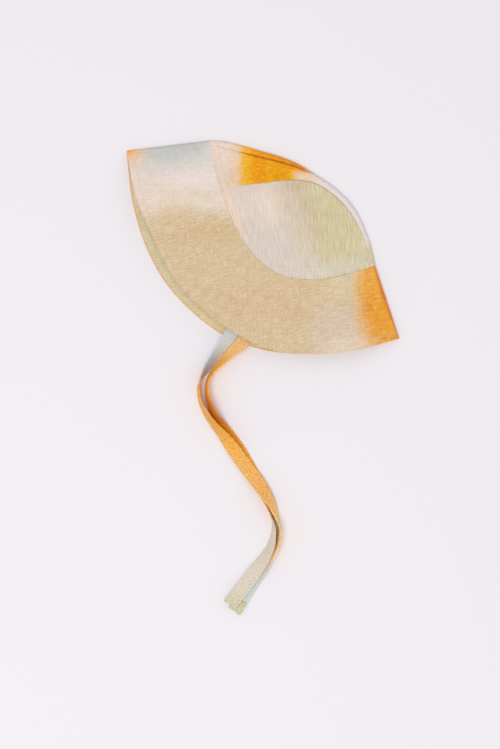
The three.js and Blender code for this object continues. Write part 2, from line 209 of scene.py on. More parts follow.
class CrownSection(NamedTuple):
    """Where the near side panel meets the centre strip, the fold, and the pleat beside it."""

    panel: tuple[float, float] | None
    fold: tuple[float, float]
    pleat_at: float
    pleat: float


class RoutePoint(NamedTuple):
    """A point of a strap's route: its place, the height of its lowest edge, and its roll."""

    x: float
    y: float
    low: float
    roll_deg: float


# Sections from the front fold to the back fold, along the hat's own directions: from the front
# fold to the back fold, and from the brim towards the top of the crown
BRIM_SECTIONS = (
    BrimSection((-0.0995, 0.0), (-0.1573, -0.0557), (-0.0995, 0.0), (-0.1573, -0.0557)),
    BrimSection((-0.0763, -0.0208), (-0.1216, -0.0864), (-0.0783, -0.0233), (-0.1239, -0.0906)),
    BrimSection((-0.052, -0.038), (-0.0815, -0.1092), (-0.056, -0.043), (-0.086, -0.1183)),
    BrimSection((-0.029, -0.0515), (-0.0446, -0.1262), (-0.0335, -0.0575), (-0.0478, -0.135)),
    BrimSection((-0.003, -0.0615), (-0.0025, -0.1332), (-0.0075, -0.0675), (-0.005, -0.1416)),
    BrimSection((0.02, -0.0639), (0.0332, -0.1322), (0.016, -0.0689), (0.0308, -0.1395)),
    BrimSection((0.042, -0.058), (0.0675, -0.1253), (0.039, -0.062), (0.0652, -0.1276)),
    BrimSection((0.0628, -0.0444), (0.1, -0.106), (0.0608, -0.0469), (0.0982, -0.107)),
    BrimSection((0.0815, -0.0245), (0.1312, -0.0784), (0.0805, -0.0255), (0.13, -0.0785)),
    BrimSection((0.0995, 0.0), (0.1599, -0.042), (0.0995, 0.0), (0.1599, -0.042)),
)
CROWN_SECTIONS = (
    CrownSection(None, (-0.0995, 0.0), 0.0032, 0),
    CrownSection((-0.054, -0.0228), (-0.0892, 0.0071), 0.007, 0.6),
    CrownSection((-0.045, -0.0128), (-0.0734, 0.0143), 0.0076, 1),
    CrownSection((-0.0335, -0.0018), (-0.0555, 0.0213), 0.0076, 1),
    CrownSection((-0.0218, 0.0102), (-0.0368, 0.0284), 0.0058, 1),
    CrownSection((-0.009, 0.021), (-0.018, 0.0333), 0.0034, 0.6),
    CrownSection((0.007, 0.0288), (0.003, 0.0354), 0.0032, 0),
    CrownSection((0.027, 0.0303), (0.026, 0.0362), 0.0032, 0),
    CrownSection((0.047, 0.0271), (0.048, 0.0328), 0.0032, 0),
    CrownSection((0.066, 0.0195), (0.0685, 0.0232), 0.0032, 0),
    CrownSection((0.083, 0.009), (0.0855, 0.012), 0.0032, 0),
    CrownSection(None, (0.0995, 0.0), 0.0032, 0),
)

# The straps' routes, from the crown seam to the free end
NEAR_STRAP_ROUTE = (
    RoutePoint(0.0257, -0.0286, 0.0122, 0),
    RoutePoint(0.0209, -0.0353, 0.0114, 0),
    RoutePoint(0.0118, -0.0483, 0.0088, 0),
    RoutePoint(0.0017, -0.0627, 0.0058, 0),
    RoutePoint(-0.0082, -0.0766, 0.0036, 2),
    RoutePoint(-0.0148, -0.0852, 0.0026, 10),
    RoutePoint(-0.0217, -0.0934, 0.0019, 26),
    RoutePoint(-0.0297, -0.1001, 0.0012, 44),
    RoutePoint(-0.0367, -0.1068, 0.0005, 56),
    RoutePoint(-0.0433, -0.1136, 0.00005, 66),
    RoutePoint(-0.0487, -0.1203, 0.00005, 74),
    RoutePoint(-0.0523, -0.127, 0.00005, 78),
    RoutePoint(-0.0536, -0.1347, 0.00005, 76),
    RoutePoint(-0.0531, -0.1424, 0.00005, 74),
    RoutePoint(-0.0513, -0.1491, 0.00005, 70),
    RoutePoint(-0.0486, -0.1558, 0.00005, 65),
    RoutePoint(-0.0468, -0.1606, 0.00005, 55),
    RoutePoint(-0.0448, -0.1654, 0.00005, 37),
    RoutePoint(-0.0412, -0.1712, 0.00005, 17),
    RoutePoint(-0.0357, -0.1779, 0.00005, 5),
    RoutePoint(-0.0287, -0.1865, 0.00005, 0),
    RoutePoint(-0.0221, -0.1961, 0.00005, 0),
    RoutePoint(-0.0165, -0.2057, 0.00005, 0),
    RoutePoint(-0.0111, -0.2153, 0.00005, -4),
    RoutePoint(-0.0057, -0.224, 0.00005, -14),
    RoutePoint(-0.0003, -0.2316, 0.00005, -28),
    RoutePoint(0.0035, -0.2384, 0.00005, -41),
    RoutePoint(0.0062, -0.2451, 0.00005, -52),
    RoutePoint(0.008, -0.2518, 0.00005, -66),
    RoutePoint(0.0089, -0.2576, 0.00005, -80),
    RoutePoint(0.0099, -0.2633, 0.00005, -94),
    RoutePoint(0.0105, -0.27, 0.00005, -102),
    RoutePoint(0.0098, -0.2777, 0.00005, -110),
    RoutePoint(0.008, -0.2854, 0.00005, -120),
    RoutePoint(0.0043, -0.2931, 0.0004, -129),
    RoutePoint(-0.0003, -0.3008, 0.0014, -144),
    RoutePoint(-0.0058, -0.3084, 0.0023, -159),
    RoutePoint(-0.0113, -0.3161, 0.0024, -174),
    RoutePoint(-0.0223, -0.3307, 0.00445, -180),
    RoutePoint(-0.0317, -0.3424, 0.00445, -180),
)
FAR_STRAP_ROUTE = (
    RoutePoint(0.007, -0.0238, 0.0019, 0),
    RoutePoint(0.0017, -0.0324, 0.0019, 0),
    RoutePoint(-0.0084, -0.0478, 0.0019, 0),
    RoutePoint(-0.0184, -0.0632, 0.0019, -4),
    RoutePoint(-0.0269, -0.0771, 0.0022, -15),
    RoutePoint(-0.0324, -0.0857, 0.0019, -30),
    RoutePoint(-0.0377, -0.0934, 0.001, -45),
    RoutePoint(-0.0436, -0.1011, 0.0003, -55),
    RoutePoint(-0.049, -0.109, 0.00005, -61),
    RoutePoint(-0.0538, -0.1168, 0.00005, -67),
    RoutePoint(-0.0583, -0.1244, 0.00005, -82),
    RoutePoint(-0.0611, -0.1318, 0.00005, -97),
    RoutePoint(-0.0612, -0.1404, 0.00005, -100),
    RoutePoint(-0.0593, -0.1491, 0.00005, -104),
    RoutePoint(-0.0566, -0.1548, 0.00005, -108),
    RoutePoint(-0.0533, -0.1606, 0.0003, -113),
    RoutePoint(-0.0493, -0.1664, 0.0009, -116),
    RoutePoint(-0.0449, -0.1721, 0.0018, -121),
    RoutePoint(-0.0389, -0.1788, 0.0019, -130),
    RoutePoint(-0.0322, -0.1875, 0.00195, -150),
    RoutePoint(-0.0255, -0.1971, 0.00195, -170),
    RoutePoint(-0.0186, -0.2067, 0.00195, -180),
    RoutePoint(-0.0114, -0.2163, 0.0022, -186),
    RoutePoint(-0.0056, -0.224, 0.0026, -195),
    RoutePoint(-0.0004, -0.2316, 0.0032, -210),
    RoutePoint(0.0042, -0.2384, 0.0034, -224),
    RoutePoint(0.0079, -0.2441, 0.0028, -235),
    RoutePoint(0.0107, -0.2499, 0.0015, -244),
    RoutePoint(0.0128, -0.2556, 0.0004, -251),
    RoutePoint(0.0147, -0.2614, 0.00005, -260),
    RoutePoint(0.0157, -0.2672, 0.00005, -274),
    RoutePoint(0.0154, -0.2748, 0.00005, -283),
    RoutePoint(0.0143, -0.2825, 0.00005, -286),
    RoutePoint(0.0108, -0.2902, 0.00005, -298),
    RoutePoint(0.0057, -0.2969, 0.00005, -316),
    RoutePoint(0.0012, -0.3036, 0.00005, -334),
    RoutePoint(-0.0027, -0.3104, 0.00005, -349),
    RoutePoint(-0.008, -0.319, 0.00005, -360),
    RoutePoint(-0.0196, -0.3373, 0.00005, -360),
    RoutePoint(-0.0272, -0.3491, 0.00005, -360),
)


class SmoothLine:
    """A centripetal Catmull-Rom line through points, measured from 0 at its start to 1."""

    def __init__(self, points: Iterable[Sequence[float]]) -> None:
        """Keeps the points.

        Args:
            points: places in two or three dimensions.
        """
        self.points = [Vector(point).to_3d() for point in points]

    @staticmethod
    def _slope(before: Vector, at: Vector, after: Vector, first: float, second: float) -> Vector:
        """The direction in which the line passes one of its points.

        Args:
            before: the point before it.
            at: the point itself.
            after: the point after it.
            first: the length that the line gives to the stretch before it.
            second: the length that the line gives to the stretch after it.

        Returns:
            The direction, for each unit of that length.
        """
        return (at - before) / first - (after - before) / (first + second) + (after - at) / second

    def at(self, share: float) -> Vector:
        """Gives a point of the line.

        Args:
            share: the place along the line, from 0 to 1.

        Returns:
            The point.
        """
        last = len(self.points) - 1
        place = min(max(share, 0.0), 1.0) * last
        start = min(int(place), last - 1)
        weight = place - start
        second, third = self.points[start], self.points[start + 1]
        first = self.points[start - 1] if start else 2 * second - third
        fourth = self.points[start + 2] if start + 2 <= last else 2 * third - second
        gaps = [math.sqrt((b - a).length) for a, b in ((first, second), (second, third), (third, fourth))]
        leaving = self._slope(first, second, third, gaps[0], gaps[1]) * gaps[1]
        arriving = self._slope(second, third, fourth, gaps[1], gaps[2]) * gaps[1]
        square, cube = weight**2, weight**3
        return (
            second * (2 * cube - 3 * square + 1)
            + third * (3 * square - 2 * cube)
            + leaving * (cube - 2 * square + weight)
            + arriving * (cube - square)
        )

    def samples(self, count: int) -> list[Vector]:
        """Gives evenly numbered points along the line, both ends among them."""
        return [self.at(i / count) for i in range(count + 1)]


def mix(low: float, high: float, share: float) -> float:
    """Gives the value at a share of the way from low to high."""
    return low + (high - low) * share


def smooth_step(value: float, low: float = 0.0, high: float = 1.0) -> float:
    """Rises smoothly from 0 at low to 1 at high."""
    share = min(max((value - low) / (high - low), 0.0), 1.0)
    return share * share * (3 - 2 * share)


def bell(distance: float, width: float) -> float:
    """Is 1 where the distance is none, and falls to nothing past about twice the width."""
    return math.exp(-((distance / width) ** 2))


def graded_stations(length: float, lines: Sequence[float], fine: float, coarse: float) -> list[float]:
    """Gives distances along a wall that lie closer together beside its lines of sewing.

    Args:
        length: the wall's width.
        lines: distances at which the wall has fine relief.
        fine: the step beside those lines.
        coarse: the longest step elsewhere.

    Returns:
        The distances, from 0 to the length.
    """
    growth, reach = 0.35, 1.6e-3
    places = [0.0]
    while length - places[-1] > 1.5 * fine:
        nearest = min(abs(places[-1] - line) for line in lines)
        step = min(coarse, fine + growth * max(0.0, nearest - reach))
        places.append(min(places[-1] + step, length))
    places[-1] = length
    return places


def near_points(points: Iterable[Vector]) -> KDTree:
    """Makes a tree that finds the nearest of many close points in the plane."""
    places = list(points)
    tree = KDTree(len(places))
    for index, point in enumerate(places):
        tree.insert((point.x, point.y, 0.0), index)
    tree.balance()
    return tree


@dataclass
class HatForm:
    """The folded hat's outlines and the height at which each half of it lies."""

    cloth: float = 0.0016
    fold_radius: float = 0.0014
    crown_rise: float = 0.014
    edge_share: float = 0.55
    rise_run: float = 0.055
    edge_fall: tuple[float, float] = (0.010, 0.130)
    at: tuple[float, float] = (0.0284, 0.0425)
    turn_deg: float = -37.0
    strip_ends: tuple[float, float] = (0.18, 0.982)
    ripple: float = 0.0007
    end_samples: int = 300
    crown_samples: int = 900
    seam_samples: int = 2500
    near_seam: SmoothLine = field(init=False)
    near_edge: SmoothLine = field(init=False)
    far_seam: SmoothLine = field(init=False)
    far_edge: SmoothLine = field(init=False)
    crown_fold: SmoothLine = field(init=False)
    panel_line: SmoothLine = field(init=False)
    fold_points: KDTree = field(init=False)
    seam_points: KDTree = field(init=False)
    place: Matrix = field(init=False)

    def __post_init__(self) -> None:
        """Draws the outlines through the tables."""
        columns = zip(*BRIM_SECTIONS)
        self.near_seam, self.near_edge, self.far_seam, self.far_edge = map(SmoothLine, columns)
        self.crown_fold = SmoothLine(row.fold for row in CROWN_SECTIONS)
        inner = [row.panel for row in CROWN_SECTIONS if row.panel]
        ends = [self.near_seam.at(share).xy for share in self.strip_ends]
        self.panel_line = SmoothLine([ends[0], *inner, ends[1]])
        front, back = (SmoothLine((row.edge, row.seam)) for row in (BRIM_SECTIONS[0], BRIM_SECTIONS[-1]))
        at_front, at_back = front.samples(self.end_samples), back.samples(self.end_samples)
        on_top = self.crown_fold.samples(self.crown_samples)
        self.fold_points = near_points(at_front + on_top + at_back)
        self.seam_points = near_points(self.near_seam.samples(self.seam_samples))
        turn = Matrix.Rotation(math.radians(self.turn_deg), 4, "Z")
        self.place = Matrix.Translation((*self.at, 0.0)) @ turn

    def seam_share(self, along: float) -> float:
        """Gives the share of the crown seam that a share of the side panel's length stands over."""
        return mix(*self.strip_ends, along)

    def far_panel_point(self, along: float) -> Vector:
        """Gives the point where the far side panel meets the centre strip."""
        offsets = [self.far_seam.at(end) - self.near_seam.at(end) for end in self.strip_ends]
        return self.panel_line.at(along) + offsets[0].lerp(offsets[1], along)

    def distance_to_fold(self, point: Vector) -> float:
        """Gives the distance in the plane from a point to the line of the fold."""
        return self.fold_points.find((point.x, point.y, 0.0))[2]

    def distance_to_seam(self, point: Vector) -> float:
        """Gives the distance in the plane from a point to the near crown seam."""
        return self.seam_points.find((point.x, point.y, 0.0))[2]

    def on_near(self, point: Vector) -> Vector:
        """Lifts a point of the plane to the middle of the near wall."""
        inward = smooth_step(self.distance_to_fold(point) / self.rise_run)
        share = mix(1.0, self.edge_share, smooth_step(-point.y, *self.edge_fall))
        height = self.cloth / 2 + 2 * self.fold_radius + self.crown_rise * inward * share
        ripple = self.ripple * inward * noise.noise(Vector((point.x, point.y, 0.0)) * RIPPLES_PER_METRE)
        return Vector((point.x, point.y, height + ripple))

    def on_far(self, point: Vector) -> Vector:
        """Lays a point of the plane on the middle of the far wall."""
        return Vector((point.x, point.y, self.cloth / 2))

    def fold_arc(self, outermost: Vector, outward: Vector, share: float) -> Vector:
        """Gives a point of the half-round of cloth at the fold.

        Args:
            outermost: the outermost point of the outer face, in the plane.
            outward: the direction that points out of the hat there.
            share: 0 where the arc leaves the near wall, and 1 where it meets the far wall.

        Returns:
            The point, on the middle of the wall.
        """
        angle = math.pi * (1 - share)
        centre = outermost - outward * (self.fold_radius + self.cloth / 2)
        arc = centre + outward * (self.fold_radius * math.sin(angle))
        arc.z = self.cloth / 2 + self.fold_radius * (1 - math.cos(angle))
        return arc


def outward_of(run: Vector) -> Vector:
    """Gives the direction in the plane that points out of the hat, square to a fold that runs so."""
    return Vector((-run.y, run.x, 0.0)).normalized()


class RingPart(Enum):
    """The parts of the brim's ring, in their order round it.

    The centre strip's one fold counts as a front fold.
    """

    NEAR = "near wall"
    BACK_FOLD = "back fold"
    FAR = "far wall"
    FRONT_FOLD = "front fold"


def add_node(tree: bpy.types.NodeTree, kind: str, inputs: dict | None = None, **settings) -> bpy.types.Node:
    """Adds a node with its settings, values and links.

    Args:
        tree: the material's node tree.
        kind: the node's type.
        inputs: for each socket's name or number, a value or the output socket that feeds it.
        **settings: the node's own properties.

    Returns:
        The node.
    """
    node = tree.nodes.new(kind)
    for name, value in settings.items():
        setattr(node, name, value)
    for key, value in (inputs or {}).items():
        if isinstance(value, bpy.types.NodeSocket):
            tree.links.new(value, node.inputs[key])
        else:
            node.inputs[key].default_value = value
    return node


def linear_colour(hex_code: str) -> tuple[float, float, float, float]:
    """Turns an sRGB hex colour into linear red, green, blue and alpha."""
    channels = [int(hex_code.lstrip("#")[i : i + 2], 16) / 255 for i in (0, 2, 4)]
    return (*((c / 12.92 if c <= 0.04045 else ((c + 0.055) / 1.055) ** 2.4) for c in channels), 1.0)


def new_material(name: str, values: dict) -> tuple[bpy.types.Material, bpy.types.Node]:
    """Makes a material.

    Args:
        name: its name.
        values: a value for each input of its shader that doesn't keep its default.

    Returns:
        The material and its shader.
    """
    material = bpy.data.materials.new(name)
    material.use_nodes = True
    shader = material.node_tree.nodes["Principled BSDF"]
    for key, value in values.items():
        shader.inputs[key].default_value = value
    return material, shader


def add_object(name: str, data: bpy.types.ID) -> bpy.types.Object:
    """Adds an object to the scene."""
    added = bpy.data.objects.new(name, data)
    bpy.context.scene.collection.objects.link(added)
    return added


class Surface(Enum):
    """Where a pattern is drawn: across the piece's place, or along its own UV map."""

    PLACE = "Object"
    RUN = "UV"


@dataclass(frozen=True)
class ColourZone:
    """A soft-edged patch of colour, an ellipse in the plane that the hat lies in: mostly dye, and in a few places
    painted shade.
    """

    colour: str
    centre: tuple[float, float]
    radii: tuple[float, float]
    turn_deg: float = 0.0
    softness: float = 0.4
    strength: float = 1.0


@dataclass(frozen=True)
class Linen:
    """Plain-woven linen, dip-dyed and washed, which looks dry and matt.

    Its uneven yarn shows as streaks and slubs, and dye bleeds along the yarn. The yarn is spaced
    about 0.5 mm. It is drawn 1 mm apart, because it would be too fine to show from where the hat
    is seen.
    """

    name: str
    ground: str
    warp_deg: float
    surface: Surface = Surface.PLACE
    zones: tuple[ColourZone, ...] = ()
    stops: tuple[tuple[float, str], ...] = ()
    # The colour of a thin line along one edge: dye on the brim's lining, painted shade on the side panel
    edge: str = ""
    edge_width: float = 0.0014
    streak: float = 0.28
    weft_share: float = 0.4
    slub_lift: float = 0.34
    yarn_spacing: float = 0.0010
    streak_length: float = 0.011
    bleed: float = 0.0025
    clouds_per_metre: float = 55.0
    relief: float = 0.00012
    roughness: float = 0.88
    sheen: float = 0.08
    sheen_roughness: float = 0.5
    specular: float = 0.25

    def build(self) -> bpy.types.Material:
        """Makes the material.

        Returns:
            The material, with its colour from the dye and its relief from the weave.
        """
        values = {
            "Roughness": self.roughness,
            "Sheen Weight": self.sheen,
            "Sheen Roughness": self.sheen_roughness,
            "Specular IOR Level": self.specular,
        }
        material, shader = new_material(self.name, values)
        tree = material.node_tree

        place = add_node(tree, "ShaderNodeTexCoord").outputs[self.surface.value]
        turn = (0.0, 0.0, math.radians(self.warp_deg))
        yarn = add_node(
            tree, "ShaderNodeMapping", {"Vector": place, "Rotation": turn}, vector_type="TEXTURE"
        )
        warp = self._streaks(tree, yarn.outputs[0], along_warp=True)
        weft = self._streaks(tree, yarn.outputs[0], along_warp=False)
        colour = self._dye_and_shade(tree, place, yarn.outputs[0], warp)
        if self.edge:
            colour = self._edge_dye_and_shade(tree, colour)
        colour = self._yarn_tone(tree, colour, warp, weft)
        colour = self._slubs(tree, colour, yarn.outputs[0])
        tree.links.new(colour, shader.inputs["Base Color"])
        tree.links.new(self._bump(tree, yarn.outputs[0], warp, weft), shader.inputs["Normal"])
        return material

    def _streaks(
        self, tree: bpy.types.NodeTree, yarn: bpy.types.NodeSocket, along_warp: bool
    ) -> bpy.types.NodeSocket:
        """Draws the unevenness of single yarns, as long thin streaks.

        Args:
            tree: the material's node tree.
            yarn: coordinates along and across the warp.
            along_warp: whether the streaks run with the warp.

        Returns:
            The streaks, as a number about 0.5.
        """
        long, fine = 1 / self.streak_length, 1 / self.yarn_spacing
        scale = (long, fine, 0.0) if along_warp else (fine, long, 0.0)
        stretched = add_node(tree, "ShaderNodeMapping", {"Vector": yarn, "Scale": scale})
        streaks = add_node(
            tree, "ShaderNodeTexNoise", {"Vector": stretched.outputs[0], "Scale": 1.0, "Detail": 2.0}
        )
        return streaks.outputs["Fac"]

    def _dye_and_shade(
        self,
        tree: bpy.types.NodeTree,
        place: bpy.types.NodeSocket,
        yarn: bpy.types.NodeSocket,
        warp: bpy.types.NodeSocket,
    ) -> bpy.types.NodeSocket:
        """Lays the dye on the cloth, with the shade that some zones and stops paint.

        Args:
            tree: the material's node tree.
            place: the coordinates that the dye's places are given in.
            yarn: coordinates along and across the warp.
            warp: the warp's streaks, along which the dye bleeds.

        Returns:
            The colour of the dye and the painted shade.
        """
        cloud = add_node(
            tree, "ShaderNodeTexNoise", {"Vector": yarn, "Scale": self.clouds_per_metre, "Detail": 3.0}
        )
        middle_grey = (0.5, 0.5, 0.5)
        centred = add_node(
            tree, "ShaderNodeVectorMath", {0: cloud.outputs["Color"], 1: middle_grey}, operation="SUBTRACT"
        )
        reach = (2 * self.bleed,) * 3
        drift = add_node(
            tree, "ShaderNodeVectorMath", {0: centred.outputs[0], 1: reach}, operation="MULTIPLY"
        )
        moved = add_node(tree, "ShaderNodeVectorMath", {0: place, 1: drift.outputs[0]}, operation="ADD")
        wick = add_node(
            tree,
            "ShaderNodeMapRange",
            {"Value": warp, "From Min": 0.3, "From Max": 0.7, "To Min": -self.bleed, "To Max": self.bleed},
        )
        angle = math.radians(self.warp_deg)
        along = (math.cos(angle), math.sin(angle), 0.0)
        pull = add_node(
            tree, "ShaderNodeVectorMath", {0: along, "Scale": wick.outputs[0]}, operation="SCALE"
        )
        bled = add_node(
            tree, "ShaderNodeVectorMath", {0: moved.outputs[0], 1: pull.outputs[0]}, operation="ADD"
        ).outputs[0]
        if self.stops:
            return self._dye_and_shade_along(tree, bled)
        return self._dye_and_shade_zones(tree, bled)

    def _dye_and_shade_along(self, tree: bpy.types.NodeTree, bled: bpy.types.NodeSocket) -> bpy.types.NodeSocket:
        """Changes the colour along a strap, from stop to stop."""
        length = self.stops[-1][0]
        run = add_node(tree, "ShaderNodeSeparateXYZ", {0: bled}).outputs[0]
        share = add_node(tree, "ShaderNodeMapRange", {"Value": run, "From Max": length})
        ramp = add_node(tree, "ShaderNodeValToRGB", {"Fac": share.outputs[0]})
        elements = ramp.color_ramp.elements
        elements[0].color = linear_colour(self.stops[0][1])
        elements[1].color = linear_colour(self.stops[-1][1])
        for distance, colour in self.stops[1:-1]:
            elements.new(distance / length).color = linear_colour(colour)
        return ramp.outputs[0]

    def _dye_and_shade_zones(self, tree: bpy.types.NodeTree, bled: bpy.types.NodeSocket) -> bpy.types.NodeSocket:
        """Lays each zone over the ground and over the zones before it: most zones are dye, and a few are painted
        shade.
        """
        colour: bpy.types.NodeSocket | tuple = linear_colour(self.ground)
        for zone in self.zones:
            local = add_node(
                tree,
                "ShaderNodeMapping",
                {
                    "Vector": bled,
                    "Location": (*zone.centre, 0.0),
                    "Rotation": (0.0, 0.0, math.radians(zone.turn_deg)),
                    "Scale": (*zone.radii, FAR_AWAY),
                },
                vector_type="TEXTURE",
            )
            reach = add_node(tree, "ShaderNodeVectorMath", {0: local.outputs[0]}, operation="LENGTH")
            amount = add_node(
                tree,
                "ShaderNodeMapRange",
                {
                    "Value": reach.outputs["Value"],
                    "From Min": 1 - zone.softness,
                    "From Max": 1 + zone.softness,
                    "To Min": zone.strength,
                    "To Max": 0.0,
                },
                interpolation_type="SMOOTHERSTEP",
            )
            layer = add_node(
                tree,
                "ShaderNodeMix",
                {0: amount.outputs[0], 6: colour, 7: linear_colour(zone.colour)},
                data_type="RGBA",
            )
            colour = layer.outputs[2]
        return colour

    def _edge_dye_and_shade(self, tree: bpy.types.NodeTree, colour: bpy.types.NodeSocket) -> bpy.types.NodeSocket:
        """Tints a thin line where the map's second axis is 0: on the brim's lining the dye that dried at its turned
        edge, on the side panel painted shade along its seam.
        """
        across = add_node(tree, "ShaderNodeTexCoord").outputs["UV"]
        from_edge = add_node(tree, "ShaderNodeSeparateXYZ", {0: across}).outputs[1]
        full, gone = 0.6 * self.edge_width, 1.3 * self.edge_width
        strength = 0.8
        amount = add_node(
            tree,
            "ShaderNodeMapRange",
            {"Value": from_edge, "From Min": full, "From Max": gone, "To Min": strength, "To Max": 0.0},
        )
        edged = add_node(
            tree,
            "ShaderNodeMix",
            {0: amount.outputs[0], 6: colour, 7: linear_colour(self.edge)},
            data_type="RGBA",
        )
        return edged.outputs[2]

    def _yarn_tone(
        self,
        tree: bpy.types.NodeTree,
        colour: bpy.types.NodeSocket,
        warp: bpy.types.NodeSocket,
        weft: bpy.types.NodeSocket,
    ) -> bpy.types.NodeSocket:
        """Makes thick yarns deeper and warmer in colour and thin ones paler, more so in strong dye.

        Args:
            tree: the material's node tree.
            colour: the dyed colour.
            warp: the warp's streaks.
            weft: the weft's streaks.

        Returns:
            The colour with single yarns in it.
        """
        blend = add_node(tree, "ShaderNodeMix", {0: self.weft_share, 2: warp, 3: weft}).outputs[0]
        thick, thin = 0.36, 0.64
        share = add_node(
            tree, "ShaderNodeMapRange", {"Value": blend, "From Min": thick, "From Max": thin}
        )
        low, high = 1 - self.streak, 1 + self.streak
        deep = (mix(low, 1.0, 0.4), 0.97 * low, 0.82 * low, 1.0)
        pale = (mix(high, 1.0, 0.3), high, 1.08 * high, 1.0)
        tint = add_node(tree, "ShaderNodeMix", {0: share.outputs[0], 6: deep, 7: pale}, data_type="RGBA")
        toned = add_node(
            tree,
            "ShaderNodeMix",
            {0: 1.0, 6: colour, 7: tint.outputs[2]},
            data_type="RGBA",
            blend_type="MULTIPLY",
        )
        # Strong dye has little blue, and there the yarns differ in full
        blue = add_node(tree, "ShaderNodeSeparateColor", {0: colour}).outputs[2]
        depth = add_node(
            tree,
            "ShaderNodeMapRange",
            {"Value": blue, "From Min": 0.6, "From Max": 0.05, "To Min": 0.3, "To Max": 1.0},
        )
        mixed = add_node(
            tree,
            "ShaderNodeMix",
            {0: depth.outputs[0], 6: colour, 7: toned.outputs[2]},
            data_type="RGBA",
        )
        return mixed.outputs[2]

    def _slubs(
        self, tree: bpy.types.NodeTree, colour: bpy.types.NodeSocket, yarn: bpy.types.NodeSocket
    ) -> bpy.types.NodeSocket:
        """Adds the thick places of the yarn, which stay paler: short dashes, far apart."""
        scale = (1 / (0.9 * self.streak_length), 1 / (1.3 * self.yarn_spacing), 0.0)
        stretched = add_node(tree, "ShaderNodeMapping", {"Vector": yarn, "Scale": scale})
        dashes = add_node(tree, "ShaderNodeTexNoise", {"Vector": stretched.outputs[0], "Scale": 1.0})
        amount = add_node(
            tree, "ShaderNodeMapRange", {"Value": dashes.outputs["Fac"], "From Min": 0.61, "From Max": 0.69}
        )
        paler = add_node(
            tree,
            "ShaderNodeMix",
            {0: amount.outputs[0], 6: colour, 7: (*(self.slub_lift,) * 3, 1.0)},
            data_type="RGBA",
            blend_type="SCREEN",
        )
        return paler.outputs[2]

    def _bump(
        self,
        tree: bpy.types.NodeTree,
        yarn: bpy.types.NodeSocket,
        warp: bpy.types.NodeSocket,
        weft: bpy.types.NodeSocket,
    ) -> bpy.types.NodeSocket:
        """Raises the yarns where they cross, and the thick ones more.

        Args:
            tree: the material's node tree.
            yarn: coordinates along and across the warp.
            warp: the warp's streaks.
            weft: the weft's streaks.

        Returns:
            The normal.
        """
        waves = []
        for direction in ("X", "Y"):
            wave = add_node(
                tree,
                "ShaderNodeTexWave",
                {"Vector": yarn, "Scale": WAVE_BAND / self.yarn_spacing, "Distortion": 0.6},
                bands_direction=direction,
            )
            waves.append(wave.outputs["Fac"])
        crossed = add_node(tree, "ShaderNodeMath", {0: waves[0], 1: waves[1]}, operation="MULTIPLY")
        thick = add_node(tree, "ShaderNodeMath", {0: warp, 1: weft}, operation="ADD")
        height = add_node(
            tree, "ShaderNodeMath", {0: crossed.outputs[0], 1: thick.outputs[0]}, operation="ADD"
        )
        bump = add_node(
            tree, "ShaderNodeBump", {"Strength": 0.7, "Distance": self.relief, "Height": height.outputs[0]}
        )
        return bump.outputs[0]


@dataclass(frozen=True)
class Thread:
    """Spun sewing thread: soft and slightly glossy, with a fine twist in light and shade."""

    name: str
    colour: str
    twist: float = 0.0008
    roughness: float = 0.6
    sheen: float = 0.1

    def build(self) -> bpy.types.Material:
        """Makes the material."""
        values = {"Roughness": self.roughness, "Sheen Weight": self.sheen}
        material, shader = new_material(self.name, values)
        tree = material.node_tree
        place = add_node(tree, "ShaderNodeTexCoord").outputs["Object"]
        ply = add_node(
            tree,
            "ShaderNodeTexWave",
            {"Vector": place, "Scale": WAVE_BAND / self.twist, "Distortion": 1.0},
            bands_direction="DIAGONAL",
        )
        shade = add_node(
            tree, "ShaderNodeMapRange", {"Value": ply.outputs["Fac"], "To Min": 0.86, "To Max": 1.04}
        )
        colour = add_node(
            tree,
            "ShaderNodeMix",
            {0: 1.0, 6: linear_colour(self.colour), 7: shade.outputs[0]},
            data_type="RGBA",
            blend_type="MULTIPLY",
        )
        tree.links.new(colour.outputs[2], shader.inputs["Base Color"])
        return material


@dataclass(frozen=True)
class Tape:
    """Woven nylon tape of a hook-and-loop fastener: ribbed, with a faint sheen.

    It was dyed with the hat, and nylon takes such dye unevenly, so its colour is mottled.
    """

    name: str
    colour: str
    mottle: str
    yarn_spacing: float = 0.0008
    relief: float = 0.0001
    clouds_per_metre: float = 420.0
    roughness: float = 0.7
    sheen: float = 0.2

    def build(self) -> bpy.types.Material:
        """Makes the material."""
        values = {"Roughness": self.roughness, "Sheen Weight": self.sheen}
        material, shader = new_material(self.name, values)
        tree = material.node_tree
        place = add_node(tree, "ShaderNodeTexCoord").outputs["Object"]
        clouds = add_node(
            tree, "ShaderNodeTexNoise", {"Vector": place, "Scale": self.clouds_per_metre, "Detail": 4.0}
        )
        amount = add_node(
            tree, "ShaderNodeMapRange", {"Value": clouds.outputs["Fac"], "From Min": 0.4, "From Max": 0.65}
        )
        colour = add_node(
            tree,
            "ShaderNodeMix",
            {0: amount.outputs[0], 6: linear_colour(self.colour), 7: linear_colour(self.mottle)},
            data_type="RGBA",
        )
        tree.links.new(colour.outputs[2], shader.inputs["Base Color"])
        ribs = add_node(
            tree, "ShaderNodeTexWave", {"Vector": place, "Scale": WAVE_BAND / self.yarn_spacing}
        )
        height = ribs.outputs["Fac"]
        bump = add_node(
            tree, "ShaderNodeBump", {"Strength": 0.4, "Distance": self.relief, "Height": height}
        )
        tree.links.new(bump.outputs[0], shader.inputs["Normal"])
        return material


